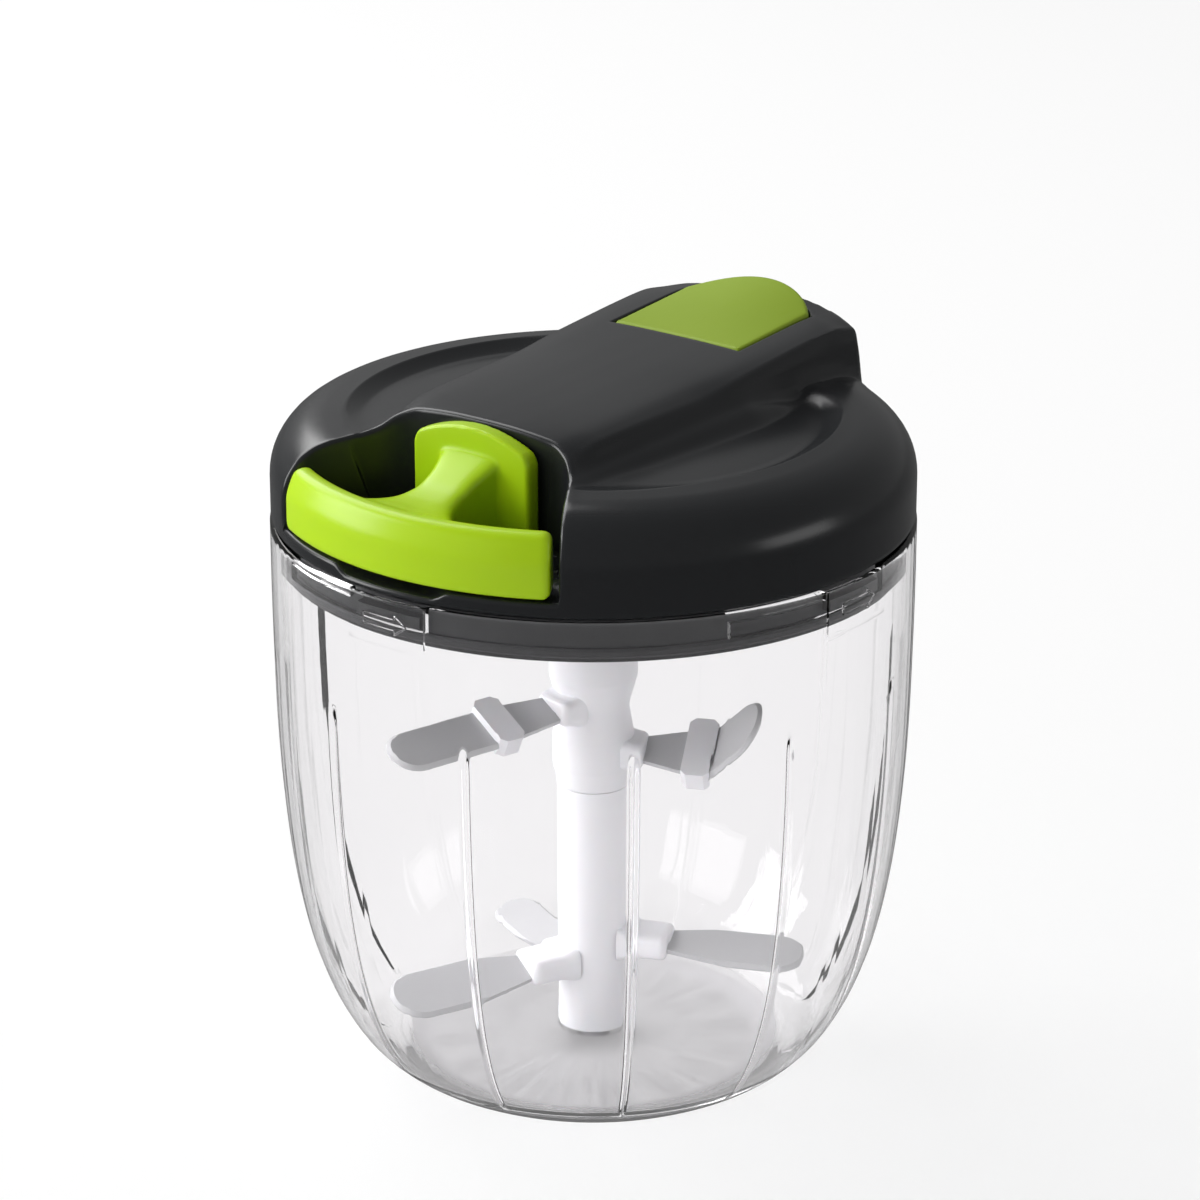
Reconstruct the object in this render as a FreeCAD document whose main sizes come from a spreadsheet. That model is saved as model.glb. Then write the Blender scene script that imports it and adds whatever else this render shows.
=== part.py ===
"""Pull-string food chopper: clear bowl, cord-driven lid and five-blade column.

Frame: origin at the centre of the bowl's foot, +Z up, the handle pulls towards -Y.
Every length is in millimetres and is kept in the spreadsheet "Sizes".
"""
import FreeCAD, Part
import math
import os
from collections import namedtuple
import Sketcher
from FreeCAD import Placement, Rotation, Vector

DRIVING_SIZES = {
    # Clear bowl
    "bowl_radius": 64.4,
    "bowl_height": 118.5,
    "bowl_wall": 2.0,
    "belly_arc": 452.0,
    "waist_height": 40.0,
    "waist_arc": 66.0,
    "heel_height": 12.0,
    "floor_level": 5.5,
    "spigot_radius": 7.0,
    "spigot_top": 9.3,
    "rib_depth": 1.5,
    "rib_angle": 2.5,
    "rib_count": 12,
    "arrow_length": 11.0,
    "arrow_width": 4.2,
    "arrow_relief": 0.35,
    # Twist lock between the bowl and the lid
    "lug_count": 4,
    "lug_angle": 14.0,
    "lug_height": 2.4,
    "lug_reach": 1.8,
    "lug_slack": 0.4,
    "slot_depth": 1.1,
    "slot_angle": 17.0,
    "twist_angle": 20.0,
    # Steel spindle that the blade column turns on
    "pin_radius": 2.5,
    "pin_bottom": 2.0,
    "pin_top": 24.0,
    "running_gap": 0.05,
    # Air left between pieces that don't touch, and round a screw in its hole
    "air_gap": 0.3,
    "screw_fit": 0.1,
    # Lid base
    "base_plate": 2.0,
    "skirt_wall": 3.0,
    "flange_thick": 2.0,
    "seal_groove_low": 0.8,
    "seal_height": 2.0,
    "seal_depth": 1.2,
    "seal_gap": 0.07,
    "bearing_radius": 7.0,
    "bearing_boss_radius": 10.0,
    "bearing_boss_drop": 5.0,
    "bearing_boss_rise": 4.0,
    "shaft_seal_height": 1.8,
    "lip_thick": 1.0,
    # Lid cover
    "cover_wall": 2.0,
    "shoulder_arc": 11.5,
    "dome_arc": 420.0,
    "ridge_front": -34.0,
    "ridge_front_half": 19.5,
    "ridge_mid": 4.0,
    "ridge_mid_half": 21.5,
    "ridge_rear_half": 24.0,
    "ridge_flare": 1.5,
    "ridge_wall": 2.2,
    "scoop_radius": 46.0,
    "scoop_offset": 37.0,
    "scoop_depth": 5.0,
    "pocket_half_angle": 33.0,
    "pocket_wall": 2.0,
    "notch_radius": 18.0,
    "notch_depth": 1.6,
    "notch_length": 10.0,
    # Screws that join the cover and the base
    "cover_screw_radius": 1.6,
    "cover_screw_length": 14.0,
    "screw_head_radius": 3.2,
    "screw_head_height": 1.8,
    "head_recess": 0.4,
    "screw_boss_radius": 4.5,
    # Drive shaft
    "shaft_radius": 5.0,
    "hex_flats": 8.0,
    "hex_gap": 0.08,
    "collar_radius": 7.0,
    "collar_height": 1.0,
    "top_pin_radius": 3.0,
    "top_pin_height": 6.0,
    "top_boss_radius": 6.5,
    "top_bearing_radius": 4.6,
    "top_bearing_height": 5.5,
    # Rewind spring and its housing
    "housing_radius": 27.0,
    "housing_wall": 1.5,
    "housing_floor": 1.0,
    "housing_height": 9.2,
    "spring_cover_thick": 0.9,
    "spring_turns": 7,
    "spring_inner": 11.5,
    "spring_outer": 24.9,
    "spring_strip": 0.4,
    "spring_height": 6.0,
    "tab_radius": 3.4,
    "tab_height": 2.0,
    "tab_screw_radius": 1.5,
    # Cord reel
    "reel_radius": 29.0,
    "reel_flange": 1.5,
    "groove_height": 6.6,
    "drum_radius": 19.6,
    "cord_core_radius": 21.55,
    "arbor_radius": 11.0,
    "cord_radius": 0.9,
    "cord_turns": 2,
    "cord_pitch": 2.25,
    "cord_bend": 4.0,
    "cord_inset": 2.0,
    "eyelet_bore": 1.45,
    "eyelet_radius": 2.7,
    "eyelet_lip": 3.4,
    "eyelet_rise": 0.6,
    # One-way roller clutch
    "race_radius": 12.0,
    "roller_radius": 2.0,
    "roller_count": 6,
    "clutch_cap": 1.0,
    # Pull handle
    "handle_depth": 6.2,
    "handle_half_angle": 30.8,
    "handle_height": 12.8,
    "handle_lift": 0.3,
    "handle_round": 2.7,
    "handle_edge": 1.0,
    "plate_half": 14.5,
    "plate_thick": 3.9,
    "plate_gap": 0.6,
    "neck_half": 5.0,
    "neck_flare": 13.0,
    "flare_share": 0.35,
    "stop_radius": 2.1,
    "stop_slot": 2.5,
    "stop_depth": 1.0,
    # Vent button
    "button_half": 15.5,
    "button_straight": 22.5,
    "button_bulge": 8.0,
    "button_crown_arc": 60.0,
    "button_round": 1.6,
    "button_gap": 0.5,
    "button_travel": 2.5,
    "well_wall": 1.8,
    "stem_radius": 2.5,
    "vent_seal_radius": 5.6,
    "vent_seal_height": 1.9,
    "vent_hole_radius": 3.2,
    "vent_boss_radius": 6.0,
    "stem_clip_radius": 4.8,
    "stem_clip_thick": 1.0,
    "clip_bite": 0.7,
    "vent_spring_radius": 3.8,
    "vent_spring_wire": 0.4,
    "vent_spring_turns": 6,
    # Blade column
    "hub_bottom": 9.6,
    "hub_radius": 7.4,
    "spigot_fit": 5.2,
    "spigot_height": 22.0,
    "sleeve_radius": 8.3,
    "waist_radius": 7.2,
    "sleeve_top_radius": 9.1,
    "sleeve_edge": 0.6,
    "bush_radius": 4.6,
    "bush_height": 16.0,
    "lower_blade_front_level": 21.5,
    "lower_blade_side_level": 25.5,
    "lower_blade_rear_level": 16.0,
    "blade_thick": 1.0,
    "blade_root_half": 3.4,
    "blade_width": 15.0,
    "holder_reach": 9.0,
    "sleeve_holder_reach": 3.5,
    "holder_half": 5.0,
    "arm_start": 5.6,
    "root_bite": 1.2,
    "holder_half_height": 2.6,
    "collar_place": 0.27,
    "collar_length": 6.0,
    "collar_rim": 0.9,
    "collar_half_height": 2.1,
    "collar_corner": 1.2,
    "bevel": 0.7,
}

# Heights measured from the bowl's rim, so that what stands on the rim keeps its place there
RIM_HEIGHTS = {
    # Bowl and twist lock
    "belly_height": -18.5,
    "rib_top": -28.5,
    "lug_bottom": -4.9,
    # Lid base and cover
    "base_bottom": -8.5,
    "cover_edge": 0.5,
    "shoulder_height": 9.0,
    "cavity_top": 15.0,
    "pocket_floor": 3.7,
    "screw_boss_split": -2.5,
    # Ridge
    "ridge_front_edge": 21.7,
    "ridge_front_crown": 28.1,
    "ridge_mid_edge": 25.8,
    "ridge_mid_crown": 31.9,
    "ridge_rear_edge": 29.8,
    "ridge_rear_crown": 33.5,
    # Drive shaft
    "shaft_bottom": -28.5,
    "hex_top": -13.9,
    "shaft_top": 13.3,
    # Pull handle
    "plate_side_top": 23.7,
    "plate_crown": 27.4,
    "neck_bottom": 5.5,
    "neck_top": 17.5,
    # Vent button
    "button_bottom": 27.0,
    "button_top": 35.1,
    "stem_bottom": -11.5,
    "vent_boss_top": -2.5,
    "stem_clip_height": 17.5,
    # Blade column
    "hub_top": -58.5,
    "sleeve_shoulder": -54.5,
    "sleeve_belly": -47.5,
    "waist_level": -41.5,
    "sleeve_top_start": -34.5,
    "sleeve_top": -14.5,
    "socket_bottom": -30.0,
    "upper_blade_left_level": -40.5,
    "upper_blade_right_level": -51.0,
}

# Reaches from the axis measured from the bowl's outer face
WALL_REACHES = {
    # Lid base and cover
    "skirt_radius": -3.0,
    "flange_radius": -1.5,
    "lid_radius": 0.6,
    "ridge_end_radius": -2.9,
    "ridge_rear": 5.6,
    "cover_screw_circle": -12.4,
    # Pull handle and vent button
    "handle_radius": 0.0,
    "button_front": -37.4,
    "stem_place": -21.4,
    # Blade tips
    "upper_blade_left_tip": -14.4,
    "upper_blade_right_tip": -23.4,
    "lower_blade_front_tip": -17.9,
    "lower_blade_side_tip": -19.9,
    "lower_blade_rear_tip": -23.4,
}

# Reaches from the axis measured from the spring housing's outer face
HOUSING_REACHES = {
    "tab_circle": 4.0,
}

# Bearing, upturn and pitch in degrees, and the breadth as a share of the blade width
Leaf = namedtuple("Leaf", "bearing upturn pitch breadth")
BLADES = {
    "upper_blade_left": Leaf(-104.0, 0.0, -25.0, 0.7),
    "upper_blade_right": Leaf(27.0, 50.0, 25.0, 0.92),
    "lower_blade_front": Leaf(-112.0, 0.0, -22.0, 0.82),
    "lower_blade_side": Leaf(24.0, 0.0, 12.0, 0.78),
    "lower_blade_rear": Leaf(155.0, 0.0, -12.0, 0.66),
}
COVER_SCREW_BEARINGS = (-35.0, 15.0, 55.0, 125.0, 165.0, 215.0)
TAB_BEARINGS = (30.0, 150.0, 270.0)
BOWL_WINDOW_BEARING = -90.0
BUTTON_PITCH = 7.7
ROLLER_RAMP = 12.0
# How far a cutting tool runs past the faces it cuts, and how far an open-topped one ends above them
PAST = 1.0
ABOVE = 20.0

doc = FreeCAD.newDocument("PullChopper")
sheet = doc.addObject("Spreadsheet::Sheet", "Sizes")


class Size:
    """A number together with the spreadsheet formula that gives it."""

    def __init__(self, value, formula=None):
        self.value = float(value)
        self.formula = formula if formula is not None else repr(float(value))

    def _combine(self, other, sign, swap=False):
        other = other if isinstance(other, Size) else Size(other)
        first, second = (other, self) if swap else (self, other)
        results = {
            "+": first.value + second.value,
            "-": first.value - second.value,
            "*": first.value * second.value,
            "/": first.value / second.value if second.value else 0.0,
        }
        return Size(results[sign], f"({first.formula} {sign} {second.formula})")

    def __add__(self, other):
        return self._combine(other, "+")

    def __radd__(self, other):
        return self._combine(other, "+", swap=True)

    def __sub__(self, other):
        return self._combine(other, "-")

    def __rsub__(self, other):
        return self._combine(other, "-", swap=True)

    def __mul__(self, other):
        return self._combine(other, "*")

    def __rmul__(self, other):
        return self._combine(other, "*", swap=True)

    def __truediv__(self, other):
        return self._combine(other, "/")

    def __neg__(self):
        return Size(0.0) - self


class Sizes:
    """Gives every spreadsheet alias as a Size."""

    def __getattr__(self, alias):
        return Size(sheet.get(alias), f"Sizes.{alias}")


def root(size):
    """Square root of a Size."""
    return Size(math.sqrt(size.value), f"sqrt({size.formula})")


def sine(angle):
    """Sine of a Size in degrees."""
    return Size(math.sin(math.radians(angle.value)), f"sin({angle.formula} * 1 deg)")


def cosine(angle):
    """Cosine of a Size in degrees."""
    return Size(math.cos(math.radians(angle.value)), f"cos({angle.formula} * 1 deg)")


def as_size(number):
    """A Size from a Size or a plain number."""
    return number if isinstance(number, Size) else Size(number)


def fill_sheet():
    """Write every size into the spreadsheet, one row each, plain or as a formula of its base size."""
    cells = {alias: str(number) for alias, number in DRIVING_SIZES.items()}
    followers = (("bowl_height", RIM_HEIGHTS), ("bowl_radius", WALL_REACHES), ("housing_radius", HOUSING_REACHES))
    for base, offsets in followers:
        cells.update({alias: f"={base} {offset:+}" for alias, offset in offsets.items()})
    for row, (alias, content) in enumerate(cells.items(), start=1):
        sheet.set(f"A{row}", alias.replace("_", " "))
        sheet.set(f"B{row}", content)
        sheet.setAlias(f"B{row}", alias)
    doc.recompute()


fill_sheet()
size = Sizes()


def bind(feature, name, amount):
    """Tie one property of a feature to a Size."""
    amount = as_size(amount)
    setattr(feature, name, amount.value)
    feature.setExpression(name, amount.formula)


def place(feature, x=0, y=0, z=0, axis=(0, 0, 1), turn=0):
    """Put a feature at a bound position, turned by a plain angle about an axis."""
    spot = [as_size(part) for part in (x, y, z)]
    feature.Placement = Placement(Vector(*(part.value for part in spot)), Rotation(Vector(*axis), turn))
    for letter, part in zip("xyz", spot):
        feature.setExpression(f"Placement.Base.{letter}", part.formula)
    return feature


def cylinder(name, radius, low, high, x=0, y=0):
    """Upright cylinder between two heights."""
    feature = doc.addObject("Part::Cylinder", name)
    bind(feature, "Radius", radius)
    bind(feature, "Height", as_size(high) - low)
    return place(feature, x, y, low)


def polar_point(radius, bearing):
    """Plan position at a radius and a bearing in degrees."""
    angle = math.radians(bearing)
    return as_size(radius) * math.cos(angle), as_size(radius) * math.sin(angle)


def fuse(label, *parts):
    """Join solids into one."""
    feature = doc.addObject("Part::MultiFuse", label)
    feature.Shapes = list(parts)
    feature.Refine = True
    return feature


def cut(label, base, *tools):
    """Take tools away from a solid."""
    tool = tools[0] if len(tools) == 1 else fuse(label + "_tools", *tools)
    feature = doc.addObject("Part::Cut", label)
    feature.Base = base
    feature.Tool = tool
    return feature


def common(label, first, second):
    """What two solids share."""
    feature = doc.addObject("Part::Common", label)
    feature.Base = first
    feature.Tool = second
    return feature


def pin_point(sketch, geometry, end, spot):
    """Bind one end of a sketch line or arc to a pair of Sizes."""
    for kind, part, axis in (("DistanceX", spot[0], -2), ("DistanceY", spot[1], -1)):
        if abs(part.value) < 1e-9:
            sketch.addConstraint(Sketcher.Constraint("PointOnObject", geometry, end, axis))
            continue
        index = sketch.addConstraint(Sketcher.Constraint(kind, -1, 1, geometry, end, part.value))
        sketch.setExpression(f"Constraints[{index}]", part.formula)


def draw(sketch, points):
    """Closed outline of bound corners; a corner may name the arc that leads to the next one.

    Each corner is (x, y) or (x, y, radius, side), where side is "left" or "right" of the way.
    """
    corners = [tuple(as_size(part) for part in corner[:2]) for corner in points]
    spots = [Vector(x.value, y.value, 0) for x, y in corners]
    ends = []
    for index, corner in enumerate(points):
        start, end = spots[index], spots[(index + 1) % len(points)]
        first = 1
        if len(corner) == 2:
            geometry = sketch.addGeometry(Part.LineSegment(start, end), False)
        else:
            radius = as_size(corner[2])
            half = (end - start).Length / 2
            sagitta = radius.value - math.sqrt(max(radius.value ** 2 - half ** 2, 0.0))
            normal = Vector(start.y - end.y, end.x - start.x, 0).normalize()
            middle = (start + end) * 0.5 + normal * (sagitta if corner[3] == "left" else -sagitta)
            geometry = sketch.addGeometry(Part.Arc(start, middle, end), False)
            first = 1 if sketch.getPoint(geometry, 1).distanceToPoint(start) < 1e-6 else 2
            limit = sketch.addConstraint(Sketcher.Constraint("Radius", geometry, radius.value))
            sketch.setExpression(f"Constraints[{limit}]", radius.formula)
        pin_point(sketch, geometry, first, corners[index])
        ends.append((geometry, first, 3 - first))
    for index, (geometry, first, last) in enumerate(ends):
        following, its_first, its_last = ends[(index + 1) % len(ends)]
        sketch.addConstraint(Sketcher.Constraint("Coincident", geometry, last, following, its_first))
    return sketch


def origin_plane(body, role):
    """One of a body's own origin planes or axes."""
    return next(item for item in body.Origin.OriginFeatures if item.Role == role)


def sketch_in(body, name, role, points, offset=0, turn=0):
    """Bound outline on an origin plane of a body, at an offset along it or turned about +Z."""
    sketch = body.newObject("Sketcher::SketchObject", name)
    sketch.AttachmentSupport = [(origin_plane(body, role), "")]
    sketch.MapMode = "FlatFace"
    offset = as_size(offset)
    spin = Rotation(Vector(0, 1, 0), turn) if role == "XZ_Plane" else Rotation(Vector(0, 0, 1), turn)
    sketch.AttachmentOffset = Placement(Vector(0, 0, offset.value), spin)
    sketch.setExpression("AttachmentOffset.Base.z", offset.formula)
    return draw(sketch, points)


def new_body(label):
    """Empty body with its label."""
    body = doc.addObject("PartDesign::Body", label)
    body.Label = label
    return body


def revolve(body, name, points, angle=360, turn=0, kind="Revolution"):
    """Turn an outline of (radius, height) corners about +Z."""
    sketch = sketch_in(body, name + "_outline", "XZ_Plane", points, turn=turn)
    feature = body.newObject("PartDesign::" + kind, name)
    feature.Profile = (sketch, [""])
    feature.ReferenceAxis = (sketch, ["V_Axis"])
    bind(feature, "Angle", angle)
    feature.Midplane = True
    sketch.Visibility = False
    body.Tip = feature
    return feature


def pad(body, name, points, low, high, role="XY_Plane", kind="Pad", turn=0):
    """Raise or cut an outline between two levels along the plane's normal."""
    low = as_size(low)
    sketch = sketch_in(body, name + "_outline", role, points, offset=low, turn=turn)
    feature = body.newObject("PartDesign::" + kind, name)
    feature.Profile = (sketch, [""])
    bind(feature, "Length", as_size(high) - low)
    if kind == "Pocket":
        feature.Reversed = True
    body.Tip = feature
    return feature


def pattern(body, name, features, count, angle=360):
    """Repeat features about +Z."""
    feature = body.newObject("PartDesign::PolarPattern", name)
    feature.Originals = list(features)
    feature.Axis = (origin_plane(body, "Z_Axis"), [""])
    feature.Angle = angle
    count = as_size(count)
    feature.Occurrences = int(count.value)
    feature.setExpression("Occurrences", count.formula)
    body.Tip = feature
    return feature


def turned(label, points):
    """A piece that is one turned outline."""
    body = new_body(label)
    revolve(body, label + "_turn", points)
    return body


def ring(label, inner, outer, low, high):
    """A plain ring about +Z."""
    return turned(label, [(inner, low), (outer, low), (outer, high), (inner, high)])


def bowl_wall_outline(inset):
    """Corners of the bowl's side, from rim to foot, inset from the outer face by a Size."""
    belly_x = size.bowl_radius - size.belly_arc
    drop = size.belly_height - size.waist_height
    reach = root(size.belly_arc * size.belly_arc - drop * drop)
    across, down = reach / size.belly_arc, drop / size.belly_arc
    waist_x = belly_x + (size.belly_arc - size.waist_arc) * across
    waist_z = size.belly_height - (size.belly_arc - size.waist_arc) * down
    fall = waist_z - size.heel_height
    reach_low = root(size.waist_arc * size.waist_arc - fall * fall)
    across_low, down_low = reach_low / size.waist_arc, fall / size.waist_arc
    heel_arc = size.heel_height / (1 - down_low)
    foot_x = waist_x + (size.waist_arc - heel_arc) * across_low
    belly, waist, heel = size.belly_arc - inset, size.waist_arc - inset, heel_arc - inset
    corners = [
        (size.bowl_radius - inset, size.bowl_height),
        (size.bowl_radius - inset, size.belly_height, belly, "left"),
        (belly_x + belly * across, size.belly_height - belly * down, waist, "left"),
        (waist_x + waist * across_low, waist_z - waist * down_low, heel, "left"),
    ]
    return corners, foot_x, heel_arc


def make_bowl():
    """Clear bowl with flutes inside, bayonet slots in its rim and a spigot in its floor."""
    body = new_body("bowl")
    outer, foot_x, heel_arc = bowl_wall_outline(as_size(0))
    inner, _, _ = bowl_wall_outline(size.bowl_wall)
    heel = heel_arc - size.bowl_wall
    rise = heel_arc - size.floor_level
    floor_x = foot_x + root(heel * heel - rise * rise)
    inner_up = [(floor_x, size.floor_level, heel, "right")]
    for index in (3, 2, 1):
        corner = inner[index]
        arc = inner[index - 1][2] if len(inner[index - 1]) > 2 else None
        inner_up.append((corner[0], corner[1]) + ((arc, "right") if arc is not None else ()))
    outline = outer + [
        (foot_x, 0),
        (0, 0),
        (0, size.pin_bottom),
        (size.pin_radius, size.pin_bottom),
        (size.pin_radius, size.spigot_top),
        (size.spigot_radius, size.spigot_top),
        (size.spigot_radius, size.floor_level),
    ] + inner_up + [inner[0]]
    revolve(body, "bowl_shell", outline)
    add_ribs(body, inner, foot_x, heel_arc)
    add_windows(body)
    return body


def add_ribs(body, inner, foot_x, heel_arc):
    """Twelve upright flutes that follow the inside of the wall down to the floor."""
    depth = size.bowl_wall + size.rib_depth
    rib_inner, _, _ = bowl_wall_outline(depth)
    sunk = size.bowl_wall * 0.5
    rib_outer, _, _ = bowl_wall_outline(sunk)
    heel_in, heel_out = heel_arc - depth, heel_arc - sunk
    low = size.floor_level - sunk
    rise = heel_arc - low
    foot_in = foot_x + root(heel_in * heel_in - rise * rise)
    foot_out = foot_x + root(heel_out * heel_out - rise * rise)
    belly_x = size.bowl_radius - size.belly_arc
    drop = size.belly_height - size.rib_top
    top_arc = size.belly_arc - sunk
    top_x = belly_x + root(top_arc * top_arc - drop * drop)
    shoulder = size.rib_top - size.rib_depth - sunk
    drop_in = size.belly_height - shoulder
    arc_in = size.belly_arc - depth
    top_in = belly_x + root(arc_in * arc_in - drop_in * drop_in)
    outline = [
        (top_x, size.rib_top, top_arc, "left"),
        (rib_outer[2][0], rib_outer[2][1], size.waist_arc - sunk, "left"),
        (rib_outer[3][0], rib_outer[3][1], heel_out, "left"),
        (foot_out, low),
        (foot_in, low, heel_in, "right"),
        (rib_inner[3][0], rib_inner[3][1], size.waist_arc - depth, "right"),
        (rib_inner[2][0], rib_inner[2][1], arc_in, "right"),
        (top_in, shoulder),
    ]
    half_step = 180.0 / size.rib_count.value
    rib = revolve(body, "rib", outline, angle=size.rib_angle, turn=half_step)
    pattern(body, "ribs", [rib], size.rib_count)


def add_windows(body):
    """Bayonet slots, each with an entry and a run, and a raised arrow outside each of them."""
    inner = size.bowl_radius - size.bowl_wall
    deep = inner + size.slot_depth
    low = size.lug_bottom - size.lug_slack
    high = size.lug_bottom + size.lug_height + size.lug_slack
    above = size.bowl_height + PAST
    entry = [(inner - PAST, low), (deep, low), (deep, above), (inner - PAST, above)]
    run = [(inner - PAST, low), (deep, low), (deep, high), (inner - PAST, high)]
    cuts = [
        revolve(body, "slot_entry", entry, size.slot_angle, BOWL_WINDOW_BEARING, "Groove"),
        revolve(body, "slot_run", run, size.slot_angle + size.twist_angle,
                BOWL_WINDOW_BEARING - size.twist_angle.value / 2, "Groove"),
    ]
    pattern(body, "slots", cuts, size.lug_count)
    half, wide = size.arrow_length / 2, size.arrow_width / 2
    middle = (size.base_bottom + size.cover_edge) / 2 - size.arrow_width * 0.25
    arrow = [
        (-half, middle),
        (-half + wide * 1.4, middle - wide),
        (-half + wide * 1.4, middle - wide * 0.45),
        (half, middle - wide * 0.45),
        (half, middle + wide * 0.45),
        (-half + wide * 1.4, middle + wide * 0.45),
        (-half + wide * 1.4, middle + wide),
    ]
    face = size.bowl_radius + size.arrow_relief
    raised = pad(body, "arrow", arrow, size.bowl_radius - size.bowl_wall * 0.5, face, role="YZ_Plane")
    pattern(body, "arrows", [raised], size.lug_count)


def make_spindle_pin():
    """Polished steel pin pressed into the floor spigot, with a domed top."""
    top = size.pin_top - size.pin_radius * 0.4
    return turned("spindle_pin", [
        (0, size.pin_bottom),
        (size.pin_radius, size.pin_bottom),
        (size.pin_radius, top),
        (size.pin_radius * 0.6, size.pin_top),
        (0, size.pin_top),
    ])


def make_lid_seal():
    """Silicone ring in the groove round the lid base."""
    low = size.base_bottom + size.seal_groove_low + size.running_gap
    high = low + size.seal_height - size.running_gap * 2
    inner = size.skirt_radius - size.seal_depth + size.running_gap
    outer = size.bowl_radius - size.bowl_wall - size.seal_gap
    nose = (high - low) * 0.25
    return turned("lid_seal", [
        (inner, low),
        (outer - nose, low),
        (outer, low + nose),
        (outer, high - nose),
        (outer - nose, high),
        (inner, high),
    ])


def make_lid_base():
    """Dark tray under the cover: plate, skirt, flange, bayonet lugs and bosses."""
    body = new_body("base_tray")
    plate_top = size.base_bottom + size.base_plate
    groove_low = size.base_bottom + size.seal_groove_low
    groove_high = groove_low + size.seal_height
    inner = size.skirt_radius - size.skirt_wall
    boss_low = size.base_bottom - size.bearing_boss_drop
    lip_top = boss_low + size.lip_thick
    lip_radius = size.shaft_radius + size.lip_thick * 0.6
    boss_high = size.base_bottom + size.bearing_boss_rise
    revolve(body, "tray", [
        (lip_radius, boss_low),
        (size.bearing_boss_radius, boss_low),
        (size.bearing_boss_radius, size.base_bottom),
        (size.skirt_radius, size.base_bottom),
        (size.skirt_radius, groove_low),
        (size.skirt_radius - size.seal_depth, groove_low),
        (size.skirt_radius - size.seal_depth, groove_high),
        (size.skirt_radius, groove_high),
        (size.skirt_radius, size.bowl_height),
        (size.flange_radius, size.bowl_height),
        (size.flange_radius, size.bowl_height + size.flange_thick),
        (inner, size.bowl_height + size.flange_thick),
        (inner, plate_top),
        (size.bearing_boss_radius, plate_top),
        (size.bearing_boss_radius, boss_high),
        (size.bearing_radius, boss_high),
        (size.bearing_radius, lip_top),
        (lip_radius, lip_top),
    ])
    top = size.lug_bottom + size.lug_height
    outer = size.skirt_radius + size.lug_reach
    lug = revolve(body, "lug", [
        (size.skirt_radius - PAST, size.lug_bottom),
        (outer, size.lug_bottom),
        (outer, top),
        (size.skirt_radius - PAST, top),
    ], size.lug_angle, BOWL_WINDOW_BEARING)
    pattern(body, "lugs", [lug], size.lug_count)
    return cut("lid_base", fuse("base_with_bosses", body, *base_bosses()), *base_holes())


def base_bosses():
    """Screw bosses, spring housing posts and the vent guide that stand on the base plate."""
    plate = size.base_bottom + size.base_plate * 0.5
    for number, bearing in enumerate(COVER_SCREW_BEARINGS, start=1):
        x, y = polar_point(size.cover_screw_circle, bearing)
        yield cylinder(f"base_boss_{number}", size.screw_boss_radius, plate, size.screw_boss_split, x, y)
    for number, bearing in enumerate(TAB_BEARINGS, start=1):
        x, y = polar_point(size.tab_circle, bearing)
        top = size.base_bottom + size.base_plate * 2
        yield cylinder(f"tab_post_{number}", size.tab_radius - size.air_gap, plate, top, x, y)
    yield cylinder("vent_guide", size.vent_boss_radius, plate, size.vent_boss_top, 0, size.stem_place)


def base_holes():
    """Screw holes with sunk heads, pilot holes for the housing and the vent hole."""
    below = size.base_bottom - PAST
    for number, bearing in enumerate(COVER_SCREW_BEARINGS, start=1):
        x, y = polar_point(size.cover_screw_circle, bearing)
        yield cylinder(f"head_sink_{number}", size.screw_head_radius + size.air_gap, below,
                       cover_screw_seat(), x, y)
        yield cylinder(f"screw_way_{number}", size.cover_screw_radius + size.screw_fit, below,
                       size.screw_boss_split + PAST, x, y)
    for number, bearing in enumerate(TAB_BEARINGS, start=1):
        x, y = polar_point(size.tab_circle, bearing)
        top = size.base_bottom + size.base_plate * 2
        yield cylinder(f"tab_pilot_{number}", size.tab_screw_radius + size.running_gap,
                       size.base_bottom + size.base_plate * 0.45, top + PAST, x, y)
    yield cylinder("vent_way", size.vent_hole_radius, below, size.vent_boss_top + PAST, 0, size.stem_place)


def cover_screw_seat():
    """Height at which the heads of the cover screws bear on the base."""
    return size.base_bottom + size.screw_head_height + size.head_recess


def screw(name, head_radius, head_height, shank_radius, length, x, y, seat, upward):
    """Cross-head screw whose head bears on a seat, with its shank running up or down from it."""
    sign = 1 if upward else -1
    tip = as_size(seat) + as_size(length) * sign
    head_end = as_size(seat) - as_size(head_height) * sign
    low, high = (head_end, seat) if upward else (seat, head_end)
    head = cylinder(name + "_head", head_radius, low, high, x, y)
    low, high = (seat, tip) if upward else (tip, seat)
    shank = cylinder(name + "_shank", shank_radius, low, high, x, y)
    solid = fuse(name + "_blank", head, shank)
    slots = []
    for turn in (0, 90):
        slot = doc.addObject("Part::Box", f"{name}_slot_{turn}")
        bind(slot, "Length", as_size(head_radius) * 1.3)
        bind(slot, "Width", as_size(head_radius) * 0.24)
        bind(slot, "Height", as_size(head_height) * 0.6)
        half_long = as_size(head_radius) * (0.65 if turn == 0 else -0.12)
        half_wide = as_size(head_radius) * (0.12 if turn == 0 else 0.65)
        level = as_size(head_end) if upward else as_size(head_end) - as_size(head_height) * 0.6
        place(slot, as_size(x) - half_long, as_size(y) - half_wide, level, turn=turn)
        slots.append(slot)
    return cut(name, solid, *slots)


def make_lid_screws():
    """Six self-tapping screws that hold the base to the cover."""
    screws = []
    for number, bearing in enumerate(COVER_SCREW_BEARINGS, start=1):
        x, y = polar_point(size.cover_screw_circle, bearing)
        screws.append(screw(f"cover_screw_{number}", size.screw_head_radius, size.screw_head_height,
                            size.cover_screw_radius, size.cover_screw_length, x, y,
                            cover_screw_seat(), True))
    return group("lid_screws", screws)


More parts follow.
